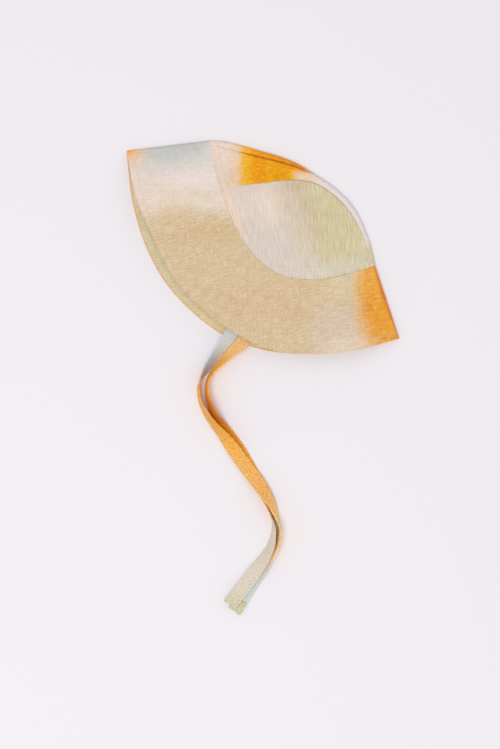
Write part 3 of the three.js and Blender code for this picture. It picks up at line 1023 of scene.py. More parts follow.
# Dye zones of the brim's outer face, each laid over the ones before it. The front end is pale
# with a grey fold, the middle is tan, and the back end is orange.
BRIM_DYE = (
    ColourZone("#CFB384", (-0.052, 0.012), (0.040, 0.011), 8, 0.9, 0.4),
    ColourZone("#CFB282", (0.034, -0.066), (0.014, 0.012), 10, 0.9, 0.3),
    ColourZone("#D3B88A", (-0.020, -0.055), (0.060, 0.018), 10, 0.9, 0.3),
    ColourZone("#D7C5B0", (0.073, -0.080), (0.025, 0.026), 20, 0.9, 0.8),
    ColourZone("#E0D1AC", (0.080, -0.034), (0.018, 0.015), 0, 0.8, 0.7),
    ColourZone("#E6D5BE", (0.082, -0.094), (0.022, 0.008), 8, 0.8, 0.7),
    ColourZone("#EADBD1", (-0.080, 0.107), (0.134, 0.070), -10, 0.22),
    ColourZone("#E3D3BC", (-0.070, 0.047), (0.060, 0.010), -2, 0.9, 0.8),
    ColourZone("#D6C098", (-0.078, 0.031), (0.045, 0.008), -6, 0.9, 0.5),
    ColourZone("#F1E4DA", (-0.066, 0.080), (0.034, 0.018), 5, 0.8, 0.8),
    ColourZone("#EAD7C8", (-0.112, 0.050), (0.020, 0.022), 0, 0.8, 0.7),
    ColourZone("#BFC2BE", (-0.087, 0.099), (0.038, 0.015), 5, 0.6),
    ColourZone("#CDCEC8", (-0.084, 0.084), (0.036, 0.013), 5, 0.9, 0.6),
    ColourZone("#EEC79C", (-0.130, 0.091), (0.018, 0.014), 0, 0.8, 0.6),
    ColourZone("#F2AE50", (-0.131, 0.094), (0.012, 0.007), 4, 0.8),
    ColourZone("#ECCDA8", (0.128, -0.085), (0.040, 0.040), 0, 0.5, 0.6),
    ColourZone("#EBC080", (0.129, -0.048), (0.042, 0.062), 0, 0.2, 0.6),
    ColourZone("#E9A236", (0.129, -0.048), (0.036, 0.056), 0, 0.34),
    ColourZone("#F2B24C", (0.104, -0.031), (0.013, 0.014), 0, 0.8, 0.5),
    ColourZone("#D67C18", (0.119, -0.0515), (0.040, 0.0022), -70.5, 0.5, 0.8),
)
# The brim's inner face is paler, and tan towards the middle of its edge
BRIM_LINING_DYE = (
    ColourZone("#E8D2A4", (-0.046, -0.080), (0.034, 0.020), -30, 0.8, 0.8),
    ColourZone("#EFD8B6", (-0.127, 0.060), (0.010, 0.026), 0, 0.8, 0.7),
    ColourZone("#E69A33", (0.129, -0.048), (0.041, 0.058), 0, 0.3),
)
# The side panels are pale pink in front and moss behind, with a tan streak between
SIDE_DYE = (
    ColourZone("#D8CEC0", (0.012, -0.006), (0.060, 0.040), -14, 0.7, 0.85),
    ColourZone("#EFD6BF", (-0.036, 0.033), (0.010, 0.036), 24, 0.7, 0.8),
    ColourZone("#EDDCCC", (0.008, 0.042), (0.012, 0.018), 10, 0.9, 0.8),
    ColourZone("#D6C5A2", (0.033, 0.030), (0.014, 0.052), 21, 0.9, 0.5),
    ColourZone("#D8CDA4", (0.103, 0.039), (0.060, 0.160), 16, 0.28),
    ColourZone("#CBB88E", (0.048, 0.022), (0.007, 0.042), 20, 0.9, 0.28),
    ColourZone("#CDB88C", (0.032, 0.062), (0.012, 0.008), 0, 0.8, 0.5),
    ColourZone("#DBD6BF", (0.073, -0.021), (0.034, 0.008), 16, 0.8, 0.7),
)
# The centre strip is pale, with an orange band across it, and painted shade as a thin dark line along its crease
STRIP_DYE_AND_SHADE = (
    ColourZone("#E7DBDA", (0.084, 0.032), (0.045, 0.062), 40, 0.4),
    ColourZone("#EAD2B4", (0.037, 0.070), (0.014, 0.020), 0, 0.7),
    ColourZone("#D8CDA4", (0.106, -0.008), (0.012, 0.011), 0, 0.5),
    ColourZone("#E2CCB4", (-0.030, 0.062), (0.009, 0.012), 0, 0.8, 0.6),
    ColourZone("#EDCFA8", (0.003, 0.072), (0.034, 0.090), 0, 0.25, 0.8),
    ColourZone("#F4B82C", (0.0045, 0.072), (0.0265, 0.080), 0, 0.22),
    ColourZone("#F2AE04", (0.006, 0.072), (0.0185, 0.080), 0, 0.4),
    ColourZone("#EC9A0A", (-0.003, 0.082), (0.008, 0.026), 0, 0.8, 0.8),
    ColourZone("#E49C00", (0.0175, 0.070), (0.009, 0.016), 0, 0.8, 0.7),
    ColourZone("#EA9A10", (0.023, 0.084), (0.024, 0.0075), -24, 0.35),
    # Painted shade: a thin dark line along each half of the crease, where the pleat folds over
    ColourZone("#BC5C08", (0.0015, 0.0858), (0.0200, 0.0007), -12.8, 0.7, 0.85),
    ColourZone("#BC5C08", (0.0285, 0.0780), (0.0170, 0.0007), -18.2, 0.7, 0.85),
)
# Colours along the straps: the distance from the crown seam, and the colour there
NEAR_STRAP_DYE = (
    (0.000, "#D9C39A"),
    (0.064, "#EBC894"),
    (0.080, "#F5C485"),
    (0.091, "#FCC67E"),
    (0.102, "#FDBA58"),
    (0.113, "#FFBA44"),
    (0.135, "#FFB83E"),
    (0.147, "#E88E06"),
    (0.167, "#D87C00"),
    (0.190, "#ECA024"),
    (0.255, "#EAA848"),
    (0.276, "#E4BA88"),
    (0.290, "#DED0B8"),
    (0.304, "#DACFBC"),
    (0.355, "#DCD3BE"),
    (0.374, "#D2CCA8"),
)
FAR_STRAP_DYE_AND_SHADE = (
    (0.000, "#CFC9A8"),
    (0.060, "#D6DCD6"),
    (0.086, "#D2D9D8"),
    # Painted shade over the change from grey to orange dye: darker grey and brown from 0.100 to 0.121 m, where the
    # strap stands on edge beside the near strap
    (0.100, "#BEC3CA"),
    (0.111, "#B5AEAE"),
    (0.121, "#D2A274"),
    (0.132, "#E9A22C"),
    (0.148, "#EEAC54"),
    (0.165, "#E2A448"),
    (0.193, "#EEAE44"),
    (0.215, "#EEB45E"),
    (0.250, "#F2B65C"),
    (0.276, "#FCCC7E"),
    (0.296, "#FFD080"),
    (0.314, "#FFD698"),
    (0.328, "#DDD2BE"),
    (0.350, "#D0D8D2"),
    (0.369, "#D4DCD6"),
    (0.382, "#D2CCA8"),
)
# The centre strip's yarn is even, and its dye stops sharply
STRIP_YARN = {"streak": 0.24, "streak_length": 0.006, "slub_lift": 0.06, "bleed": 0.0008}
# The side panel shows its warp more than its weft, and a thin darker line of painted shade along its seam with the
# centre strip
PANEL_YARN = {
    "edge_width": 0.0011,
    "streak": 0.27,
    "weft_share": 0.15,
    "streak_length": 0.014,
    "slub_lift": 0.1,
}
# A narrow strap is dyed along its run, and shows short lengths of its yarn
STRAP_YARN = {"surface": Surface.RUN, "streak": 0.40, "streak_length": 0.0022, "slub_lift": 0.12}


class Finish(Enum):
    """Every finish of the hat."""

    BRIM = Linen("dyed_linen_brim", "#D7C09A", 14, zones=BRIM_DYE, streak=0.27, slub_lift=0.2)
    BRIM_LINING = Linen("dyed_linen_brim_lining", "#DDD0A8", 14, zones=BRIM_LINING_DYE, edge="#E0B080")
    BRIM_EDGE = Linen("dyed_linen_brim_edge", "#DDAE7C", 14)
    # The side panel's edge colour is painted shade along its seam with the centre strip
    SIDE = Linen("dyed_linen_side_panel", "#E4D3C6", 97, zones=SIDE_DYE, edge="#AD9C74", **PANEL_YARN)
    STRIP = Linen("dyed_linen_centre_strip", "#EDD9C9", 2, zones=STRIP_DYE_AND_SHADE, **STRIP_YARN)
    CROWN_LINING = Linen("dyed_linen_crown_lining", "#D9CDB2", 97)
    NEAR_STRAP = Linen("dyed_linen_near_strap", "#E89A3C", 0, stops=NEAR_STRAP_DYE, **STRAP_YARN)
    FAR_STRAP = Linen("dyed_linen_far_strap", "#CFD1C9", 0, stops=FAR_STRAP_DYE_AND_SHADE, **STRAP_YARN)
    THREAD = Thread("spun_sewing_thread", "#F3E9D8")
    # Painted shade: a darker flat bead between stitches stands for the shade in each needle hole
    NEEDLE_HOLE = Thread("painted_needle_hole_shade", "#C4AF8C")
    HOOK_TAPE = Tape("woven_nylon_hook_tape", "#C8C29A", "#DBD7BC")
    LOOP_TAPE = Tape("woven_nylon_loop_tape", "#CAC49A", "#DEDABE")

    def material(self) -> bpy.types.Material:
        """Gives the finish's material, which is made the first time."""
        return bpy.data.materials.get(self.value.name) or self.value.build()


SEWING = (Finish.THREAD, Finish.NEEDLE_HOLE)


class Placed(NamedTuple):
    """A point of a piece, and its place on the piece's UV map, in metres."""

    point: Vector
    uv: tuple[float, float]


def finish_piece(
    name: str, work: bmesh.types.BMesh, finishes: Sequence[Finish], slot: str | None = None
) -> bpy.types.Object:
    """Makes a smooth-shaded object that rides on the hat's one body.

    Args:
        name: the piece's name.
        work: its mesh, which is freed.
        finishes: the finishes of its material slots.
        slot: the record's material slot that it takes its finish from.

    Returns:
        The object.
    """
    mesh = bpy.data.meshes.new(name)
    work.to_mesh(mesh)
    work.free()
    mesh.polygons.foreach_set("use_smooth", [True] * len(mesh.polygons))
    for kind in finishes:
        mesh.materials.append(kind.material())
    piece = add_object(name, mesh)
    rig.ride(piece, ROOT)
    if slot:
        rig.slot(piece, slot)
    LOG.info("%s: %d faces", name, len(mesh.polygons))
    return piece


def shaped_grid(columns: int, rows: int, place: Callable[[int, int], Placed]) -> bmesh.types.BMesh:
    """Makes a grid and puts each of its points in place.

    Args:
        columns: steps across the grid.
        rows: steps up the grid.
        place: gives the point and its place on the UV map, for a column and a row.

    Returns:
        The mesh, with faces that turn by the right-hand rule from columns to rows, and with
        points that coincide merged.
    """
    work = bmesh.new()
    bmesh.ops.create_grid(work, x_segments=columns, y_segments=rows, size=0.5)
    uv_layer = work.loops.layers.uv.new("UVMap")
    placed = {}
    for vertex in work.verts:
        key = (round((vertex.co.x + 0.5) * columns), round((vertex.co.y + 0.5) * rows))
        placed[vertex] = place(*key)
    for vertex, goal in placed.items():
        vertex.co = goal.point
        for loop in vertex.link_loops:
            loop[uv_layer].uv = goal.uv
    bmesh.ops.remove_doubles(work, verts=work.verts[:], dist=MERGE_DISTANCE)
    return work


def thicken(piece: bpy.types.Object, thickness: float, edge_slot: int) -> None:
    """Gives a sheet its wall and rounds the wall's edges.

    Args:
        piece: the sheet, on the middle of the wall.
        thickness: the wall's thickness.
        edge_slot: how many material slots after the outer face's one the wall's edge takes.
    """
    wall = piece.modifiers.new("wall", "SOLIDIFY")
    wall.thickness = thickness
    wall.offset = 0.0
    wall.material_offset = 1
    wall.material_offset_rim = edge_slot
    edge = piece.modifiers.new("edge", "BEVEL")
    edge.width = EDGE_ROUNDING * thickness
    edge.segments = EDGE_SEGMENTS
    edge.limit_method = "ANGLE"
    edge.angle_limit = math.radians(EDGE_CORNER_DEG)


class UnitBead:
    """A round bead of radius 1, which is copied for each stitch."""

    def __init__(self) -> None:
        """Makes the bead once."""
        shape = bmesh.new()
        bmesh.ops.create_uvsphere(shape, u_segments=6, v_segments=4, radius=1.0)
        self.corners = [vertex.co.copy() for vertex in shape.verts]
        self.faces = [[vertex.index for vertex in face.verts] for face in shape.faces]
        shape.free()

    def copy_to(self, work: bmesh.types.BMesh, place: Matrix, finish: int) -> None:
        """Adds a copy, no lower than the surface that the hat lies on.

        Args:
            work: the mesh that it is added to.
            place: its size, turn and place.
            finish: its material slot.
        """
        corners = [place @ corner for corner in self.corners]
        added = [work.verts.new((corner.x, corner.y, max(corner.z, 0.0))) for corner in corners]
        for face in self.faces:
            work.faces.new([added[index] for index in face]).material_index = finish


@dataclass(frozen=True)
class Stitching:
    """Lines of lockstitch, in thread that lies on the cloth and dips into it at each end, with a darker bead between
    stitches as painted shade of each needle hole.
    """

    bead: UnitBead
    pitch: float = 0.0030
    length: float = 0.0022
    width: float = 0.00055
    flatness: float = 1.2
    lift: float = 0.00006
    # The size and flatness of the darker bead painted as the shade of each needle hole
    hole: float = 0.0007
    hole_flatness: float = 5.0

    def sew(
        self, work: bmesh.types.BMesh, line: Sequence[tuple[Vector, Vector]], closed: bool = False
    ) -> None:
        """Adds stitches along a line.

        Args:
            work: the mesh that the stitches are added to.
            line: points on the face of the cloth, close together, each with the face's normal.
            closed: whether the line goes back to its start.
        """
        points = list(line) + ([line[0]] if closed else [])
        stitch = (self.length, self.width, self.width / self.flatness)
        hole = (self.hole, self.hole, self.hole / self.hole_flatness)
        travelled = 0.0
        due = self.pitch / 2
        for (start, normal), (end, _) in zip(points, points[1:]):
            step = (end - start).length
            while step > 0 and due <= travelled + step:
                centre = start.lerp(end, (due - travelled) / step)
                along = (end - start).normalized()
                self._bead(work, centre, along, normal, stitch, SEWING.index(Finish.THREAD))
                # A darker bead between stitches paints the shade of the needle hole
                between = centre + along * (self.pitch / 2)
                self._bead(work, between, along, normal, hole, SEWING.index(Finish.NEEDLE_HOLE))
                due += self.pitch
            travelled += step

    def _bead(
        self,
        work: bmesh.types.BMesh,
        centre: Vector,
        along: Vector,
        normal: Vector,
        size: tuple[float, float, float],
        finish: int,
    ) -> None:
        """Adds a flattened bead: a stitch, or the painted shade of the needle hole between two stitches.

        Args:
            work: the mesh that it is added to.
            centre: its place on the cloth.
            along: the direction of the line of stitches.
            normal: the cloth's normal.
            size: its length, width and height.
            finish: its material slot.
        """
        across = normal.cross(along).normalized()
        upward = along.cross(across)
        turn = Matrix((along, across, upward)).transposed().to_4x4()
        scale = Matrix.Diagonal((*(side / 2 for side in size), 1.0))
        self.bead.copy_to(work, Matrix.Translation(centre + upward * self.lift) @ turn @ scale, finish)


@dataclass(frozen=True)
class Brim:
    """The brim: one ring of doubled cloth, folded at the front and the back."""

    form: HatForm
    thickness: float = 0.0015
    near_steps: int = 260
    far_steps: int = 200
    fold_steps: int = 8
    stitch_from_edge: float = 0.0066
    groove: float = 0.00022
    groove_width: float = 0.0008
    pucker: float = 0.00022
    pucker_reach: tuple[float, float] = (0.005, 0.006)
    puckers_per_metre: tuple[float, float] = (170.0, 90.0)
    row_step: tuple[float, float] = (0.00045, 0.0026)
    mean_width: float = 0.077
    ring_lengths: tuple[float, float] = (0.28, 0.42)
    inset: float = 0.0022

    def stations(self) -> list[tuple[RingPart, float]]:
        """Lists the ring's stations, each as a part of the ring and a share of that part."""
        parts = (
            (RingPart.NEAR, self.near_steps),
            (RingPart.BACK_FOLD, self.fold_steps),
            (RingPart.FAR, self.far_steps),
            (RingPart.FRONT_FOLD, self.fold_steps),
        )
        return [(part, step / steps) for part, steps in parts for step in range(steps)]

    def middle(self, part: RingPart, share: float, down: float) -> Vector:
        """Gives a point on the middle of the brim's wall, in the hat's own directions.

        Args:
            part: the part of the ring.
            share: the share of that part, in the order round the ring.
            down: the share of the way from the crown seam to the edge.

        Returns:
            The point.
        """
        form = self.form
        margin = self.inset / mix(*self.ring_lengths, down)
        if part is RingPart.NEAR:
            at = mix(margin, 1 - margin, share)
            return form.on_near(form.near_seam.at(at).lerp(form.near_edge.at(at), down))
        if part is RingPart.FAR:
            at = mix(1 - margin, margin, share)
            return form.on_far(form.far_seam.at(at).lerp(form.far_edge.at(at), down))
        at_front = part is RingPart.FRONT_FOLD
        end = 0.0 if at_front else 1.0
        seam, edge = form.near_seam.at(end), form.near_edge.at(end)
        outward = outward_of(seam - edge if at_front else edge - seam)
        return form.fold_arc(seam.lerp(edge, down), outward, 1 - share if at_front else share)

    def build(self) -> bpy.types.Object:
        """Makes the brim.

        Returns:
            The piece, which stands for the CAD's brim.
        """
        stations = self.stations()
        edge_reach, seam_reach = self.pucker_reach
        along_scale, across_scale = self.puckers_per_metre
        lines = (0.0, self.stitch_from_edge, self.mean_width)
        from_edge = graded_stations(self.mean_width, lines, *self.row_step)
        run_at = []
        travelled, before = 0.0, None
        for part, share in [*stations, stations[0]]:
            point = self.middle(part, share, 0.5)
            travelled += (point - before).length if before else 0.0
            run_at.append(travelled)
            before = point

        def place(column: int, row: int) -> Placed:
            """Puts one point of the wall in place."""
            station = column % len(stations)
            part, share = stations[station]
            distance = from_edge[row]
            point = self.middle(part, share, 1 - distance / self.mean_width)
            if part is RingPart.NEAR:
                line = bell(distance - self.stitch_from_edge, self.groove_width)
                edge = bell(distance, edge_reach) + bell(distance - self.mean_width, seam_reach)
                at = (run_at[station] * along_scale, distance * across_scale, BRIM_RELIEF)
                point.z += self.pucker * noise.noise(Vector(at)) * edge - self.groove * line
            return Placed(self.form.place @ point, (run_at[column], distance))

        work = shaped_grid(len(stations), len(from_edge) - 1, place)
        piece = finish_piece(
            "brim_cloth", work, (Finish.BRIM, Finish.BRIM_LINING, Finish.BRIM_EDGE), "brim_linen"
        )
        thicken(piece, self.thickness, 2)
        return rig.replaces(piece, "brim")

    def face_line(self, from_edge: float, outer: bool) -> list[tuple[Vector, Vector]]:
        """Gives a line round the brim, on its outer or inner face.

        Args:
            from_edge: the line's distance from the brim's edge.
            outer: whether it lies on the outer face.

        Returns:
            Points in the frame, each with the face's normal.
        """
        line = []
        down = 1 - from_edge / self.mean_width
        beside_down, beside_along = 0.01, 0.004
        for part, share in self.stations():
            here = self.middle(part, share, down)
            across = self.middle(part, share, down - beside_down) - here
            ahead = self.middle(part, min(share + beside_along, 1.0), down)
            behind = self.middle(part, max(share - beside_along, 0.0), down)
            normal = (ahead - behind).cross(across).normalized() * (1 if outer else -1)
            if part is RingPart.NEAR:
                here.z -= self.groove
            face = here + normal * (self.thickness / 2)
            line.append((self.form.place @ face, self.form.place.to_3x3() @ normal))
        return line

    def topstitch(self, stitching: Stitching) -> bpy.types.Object:
        """Sews the row of stitches along the edge, which shows on both faces."""
        work = bmesh.new()
        for outer in (True, False):
            stitching.sew(work, self.face_line(self.stitch_from_edge, outer), closed=True)
        return finish_piece("brim_topstitch", work, SEWING)


@dataclass(frozen=True)
class Crown:
    """The crown: a centre strip over the head, and a side panel on each side of it."""

    form: HatForm
    thickness: float = 0.0015
    seam_gap: float = 0.00012
    strip_steps: int = 190
    strip_rows: tuple[int, int, int] = (96, 8, 20)
    strip_size: tuple[float, float] = (0.215, 0.03)
    strip_tip: float = 0.0006
    panel_steps: tuple[int, int] = (130, 64)
    panel_size: tuple[float, float] = (0.19, 0.09)
    row_crowding: float = 0.8
    blunt: float = 0.003
    seam_blend: float = 1 / 24
    pleat_lift: float = 0.0017
    pleat_width: float = 0.0024
    valley_depth: float = 0.0011
    valley_width: float = 0.0005
    valley_limit: float = 0.7
    crest_limit: float = 0.85
    slope_share: float = 0.55
    least_run: float = 1e-6
    stitch_lines: tuple[float, float] = (0.0021, 0.0074)
    seam_samples: int = 900
    above: float = 0.1
    groove: float = 0.00020
    groove_width: float = 0.0008
    pucker: float = 0.00028
    pucker_reach: float = 0.009
    puckers_per_metre: float = 150.0
    seam_dip: tuple[float, float] = (0.0007, 0.0006)

    def strip_layout(self) -> list[tuple[RingPart, float]]:
        """Lists the centre strip's stations across it, from the near side panel to the far one."""
        parts = zip((RingPart.NEAR, RingPart.FRONT_FOLD, RingPart.FAR), self.strip_rows)
        layout = [(part, row / rows) for part, rows in parts for row in range(rows)]
        return [*layout, (RingPart.FAR, 1.0)]

    def read_pleat(self, along: float) -> tuple[float, float]:
        """Reads the crown's table between its rows.

        Args:
            along: the share of the way from its first row to its last.

        Returns:
            The pleat's distance from the fold, and how much of its height it has there.
        """
        at = along * (len(CROWN_SECTIONS) - 1)
        row = min(int(at), len(CROWN_SECTIONS) - 2)
        before, after = CROWN_SECTIONS[row], CROWN_SECTIONS[row + 1]
        return mix(before.pleat_at, after.pleat_at, at - row), mix(before.pleat, after.pleat, at - row)

    def side_point(self, along: float, inward: float, near: bool) -> tuple[Vector, float]:
        """Gives a place on one side of the centre strip, in the plane.

        Args:
            along: the share of the way along the strip, from front to back.
            inward: the share of the way from the fold to the side panel.
            near: whether it is on the near side.

        Returns:
            The place, and its distance from the fold.
        """
        form = self.form
        fold = form.crown_fold.at(along)
        panel = form.panel_line.at(along) if near else form.far_panel_point(along)
        seam = form.near_seam if near else form.far_seam
        straight = fold.lerp(panel, inward)
        for end, seam_end in ((0.0, form.strip_ends[0]), (1.0, form.strip_ends[1])):
            weight = 1 - abs(along - end) / self.seam_blend
            if weight > 0:
                straight = straight.lerp(seam.at(mix(end, seam_end, inward)), weight)
        return straight, (panel - fold).length * inward

    def pleat_height(self, along: float, from_fold: float, width: float) -> float:
        """Gives the height of the soft pleat: a sharp valley, and a crest beyond it.

        Args:
            along: the share of the way along the strip.
            from_fold: the distance from the fold.
            width: the strip's width on the near side there.

        Returns:
            The height to add to the wall.
        """
        valley, amount = self.read_pleat(along)
        valley = min(valley, self.valley_limit * width)
        crest = min(valley + self.pleat_width, self.crest_limit * width)
        beyond = from_fold - valley
        if beyond < 0:
            rise = -self.valley_depth * bell(beyond, self.valley_width)
        elif from_fold < crest:
            steep = smooth_step(beyond / (self.slope_share * (crest - valley)))
            rise = mix(-self.valley_depth, self.pleat_lift, steep)
        else:
            # The slope keeps some run where the strip comes to a point
            foot = crest + self.slope_share * (width - crest) + self.least_run
            rise = self.pleat_lift * (1 - smooth_step(from_fold, crest, foot))
        return amount * rise

    def strip_middle(self, along: float, part: RingPart, share: float) -> Vector:
        """Gives a point on the middle of the strip's wall, in the hat's own directions.

        Args:
            along: the share of the way along the strip, from front to back.
            part: the near side, the fold or the far side.
            share: the share of that part, in the order across the strip.

        Returns:
            The point.
        """
        form = self.form
        fold = form.crown_fold.at(along)
        if part is RingPart.FRONT_FOLD:
            beside = 0.01
            ahead = form.crown_fold.at(min(along + beside, 1))
            behind = form.crown_fold.at(max(along - beside, 0))
            return form.fold_arc(fold, outward_of(ahead - behind), share)
        near = part is RingPart.NEAR
        panel = form.panel_line.at(along) if near else form.far_panel_point(along)
        width = max((panel - fold).length, LEAST_WIDTH)
        start = (form.fold_radius + form.cloth / 2) / width
        margin = self.seam_gap / 2 / width
        inward = mix(1 - margin, start, share) if near else mix(start, 1 - margin, share)
        place, from_fold = self.side_point(along, inward, near)
        if not near:
            return form.on_far(place)
        lifted = form.on_near(place)
        lifted.z += self.pleat_height(along, from_fold, width) - self.pressed_seam(width - from_fold)
        return lifted

    def strip(self) -> bpy.types.Object:
        """Makes the centre strip.

        Returns:
            The piece, which stands for the CAD's centre strip.
        """
        layout = self.strip_layout()
        length, width = self.strip_size

        def place(column: int, row: int) -> Placed:
            """Puts one point of the strip in place."""
            along = mix(self.strip_tip, 1 - self.strip_tip, column / self.strip_steps)
            part, share = layout[row]
            point = self.strip_middle(along, part, share)
            if part is RingPart.NEAR:
                point.z += self.seam_relief(point)
            return Placed(self.form.place @ point, (along * length, row * width / len(layout)))

        work = shaped_grid(self.strip_steps, len(layout) - 1, place)
        piece = finish_piece(
            "crown_strip_cloth", work, (Finish.STRIP, Finish.CROWN_LINING, Finish.STRIP), "strip_linen"
        )
        thicken(piece, self.thickness, 0)
        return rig.replaces(piece, "crown_strip")

    def seam_relief(self, point: Vector) -> float:
        """Gives the relief beside the crown seam: a groove at each line of stitches, and puckers."""
        distance = self.form.distance_to_seam(point)
        grooves = sum(bell(distance - line, self.groove_width) for line in self.stitch_lines)
        wave = noise.noise(Vector((point.x, point.y, CROWN_RELIEF)) * self.puckers_per_metre)
        return self.pucker * wave * bell(distance, self.pucker_reach) - self.groove * grooves

    def pressed_seam(self, distance: float) -> float:
        """Gives how far the cloth dips at a distance from the seam round the side panel."""
        depth, width = self.seam_dip
        return depth * bell(distance, width)

    def panel_middle(self, along: float, up: float, near: bool) -> Vector:
        """Gives a point on the middle of a side panel's wall, in the hat's own directions.

        Args:
            along: the share of the way along the panel, from front to back.
            up: the share of the way from the crown seam to the centre strip.
            near: whether it is the near panel.

        Returns:
            The point.
        """
        form = self.form
        seam = form.near_seam if near else form.far_seam
        inside = mix(self.blunt, 1 - self.blunt, along)
        bottom = seam.at(form.seam_share(inside))
        top = form.panel_line.at(inside) if near else form.far_panel_point(inside)
        height = max((top - bottom).length, LEAST_WIDTH)
        most_share = 0.2
        margin = min(self.seam_gap / 2 / height, most_share)
        inward = mix(margin, 1 - margin, up)
        place = bottom.lerp(top, inward)
        if not near:
            return form.on_far(place)
        lifted = form.on_near(place)
        lifted.z -= self.pressed_seam((1 - inward) * height)
        return lifted

    def side_panel(self, near: bool) -> bpy.types.Object:
        """Makes a side panel.

        Args:
            near: whether it is the near panel, which lies on top.

        Returns:
            The piece, which stands for the CAD's side panel.
        """
        columns, rows = self.panel_steps
        length, width = self.panel_size

        def place(column: int, row: int) -> Placed:
            """Puts one point of the panel in place."""
            step = (row if near else rows - row) / rows
            up = step - self.row_crowding * math.sin(math.tau * step) / math.tau
            point = self.panel_middle(column / columns, up, near)
            if near:
                point.z += self.seam_relief(point)
            return Placed(self.form.place @ point, (column / columns * length, (1 - up) * width))

        work = shaped_grid(columns, rows, place)
        side = "near" if near else "far"
        piece = finish_piece(
            f"crown_side_{side}_cloth", work, (Finish.SIDE, Finish.CROWN_LINING, Finish.SIDE), "side_linen"
        )
        thicken(piece, self.thickness, 0)
        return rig.replaces(piece, f"crown_side_{side}")

    def topstitch(self, cloths: Sequence[bpy.types.Object], stitching: Stitching) -> bpy.types.Object:
        """Sews two lines along the crown seam on each side, through the seam's folded edges.

        Args:
            cloths: the pieces that the stitches lie on.
            stitching: how the stitches are made.

        Returns:
            The stitches, as one piece.
        """
        graph = bpy.context.evaluated_depsgraph_get()
        skins = [BVHTree.FromObject(cloth, graph) for cloth in cloths]
        form = self.form
        work = bmesh.new()
        for seam, looking in ((form.near_seam, -UP), (form.far_seam, UP)):
            middles = seam.samples(self.seam_samples)
            for line in self.stitch_lines:
                run = []
                for before, after in zip(middles, middles[2:]):
                    inward = outward_of(after - before)
                    place = form.place @ ((before + after) / 2 + inward * line)
                    start = place - looking * self.above
                    hits = [skin.ray_cast(start, looking) for skin in skins]
                    hits = [hit for hit in hits if hit[0] is not None]
                    if hits:
                        nearest = min(hits, key=lambda hit: hit[3])
                        run.append((nearest[0], -looking))
                stitching.sew(work, run)
        return finish_piece("crown_topstitch", work, SEWING)


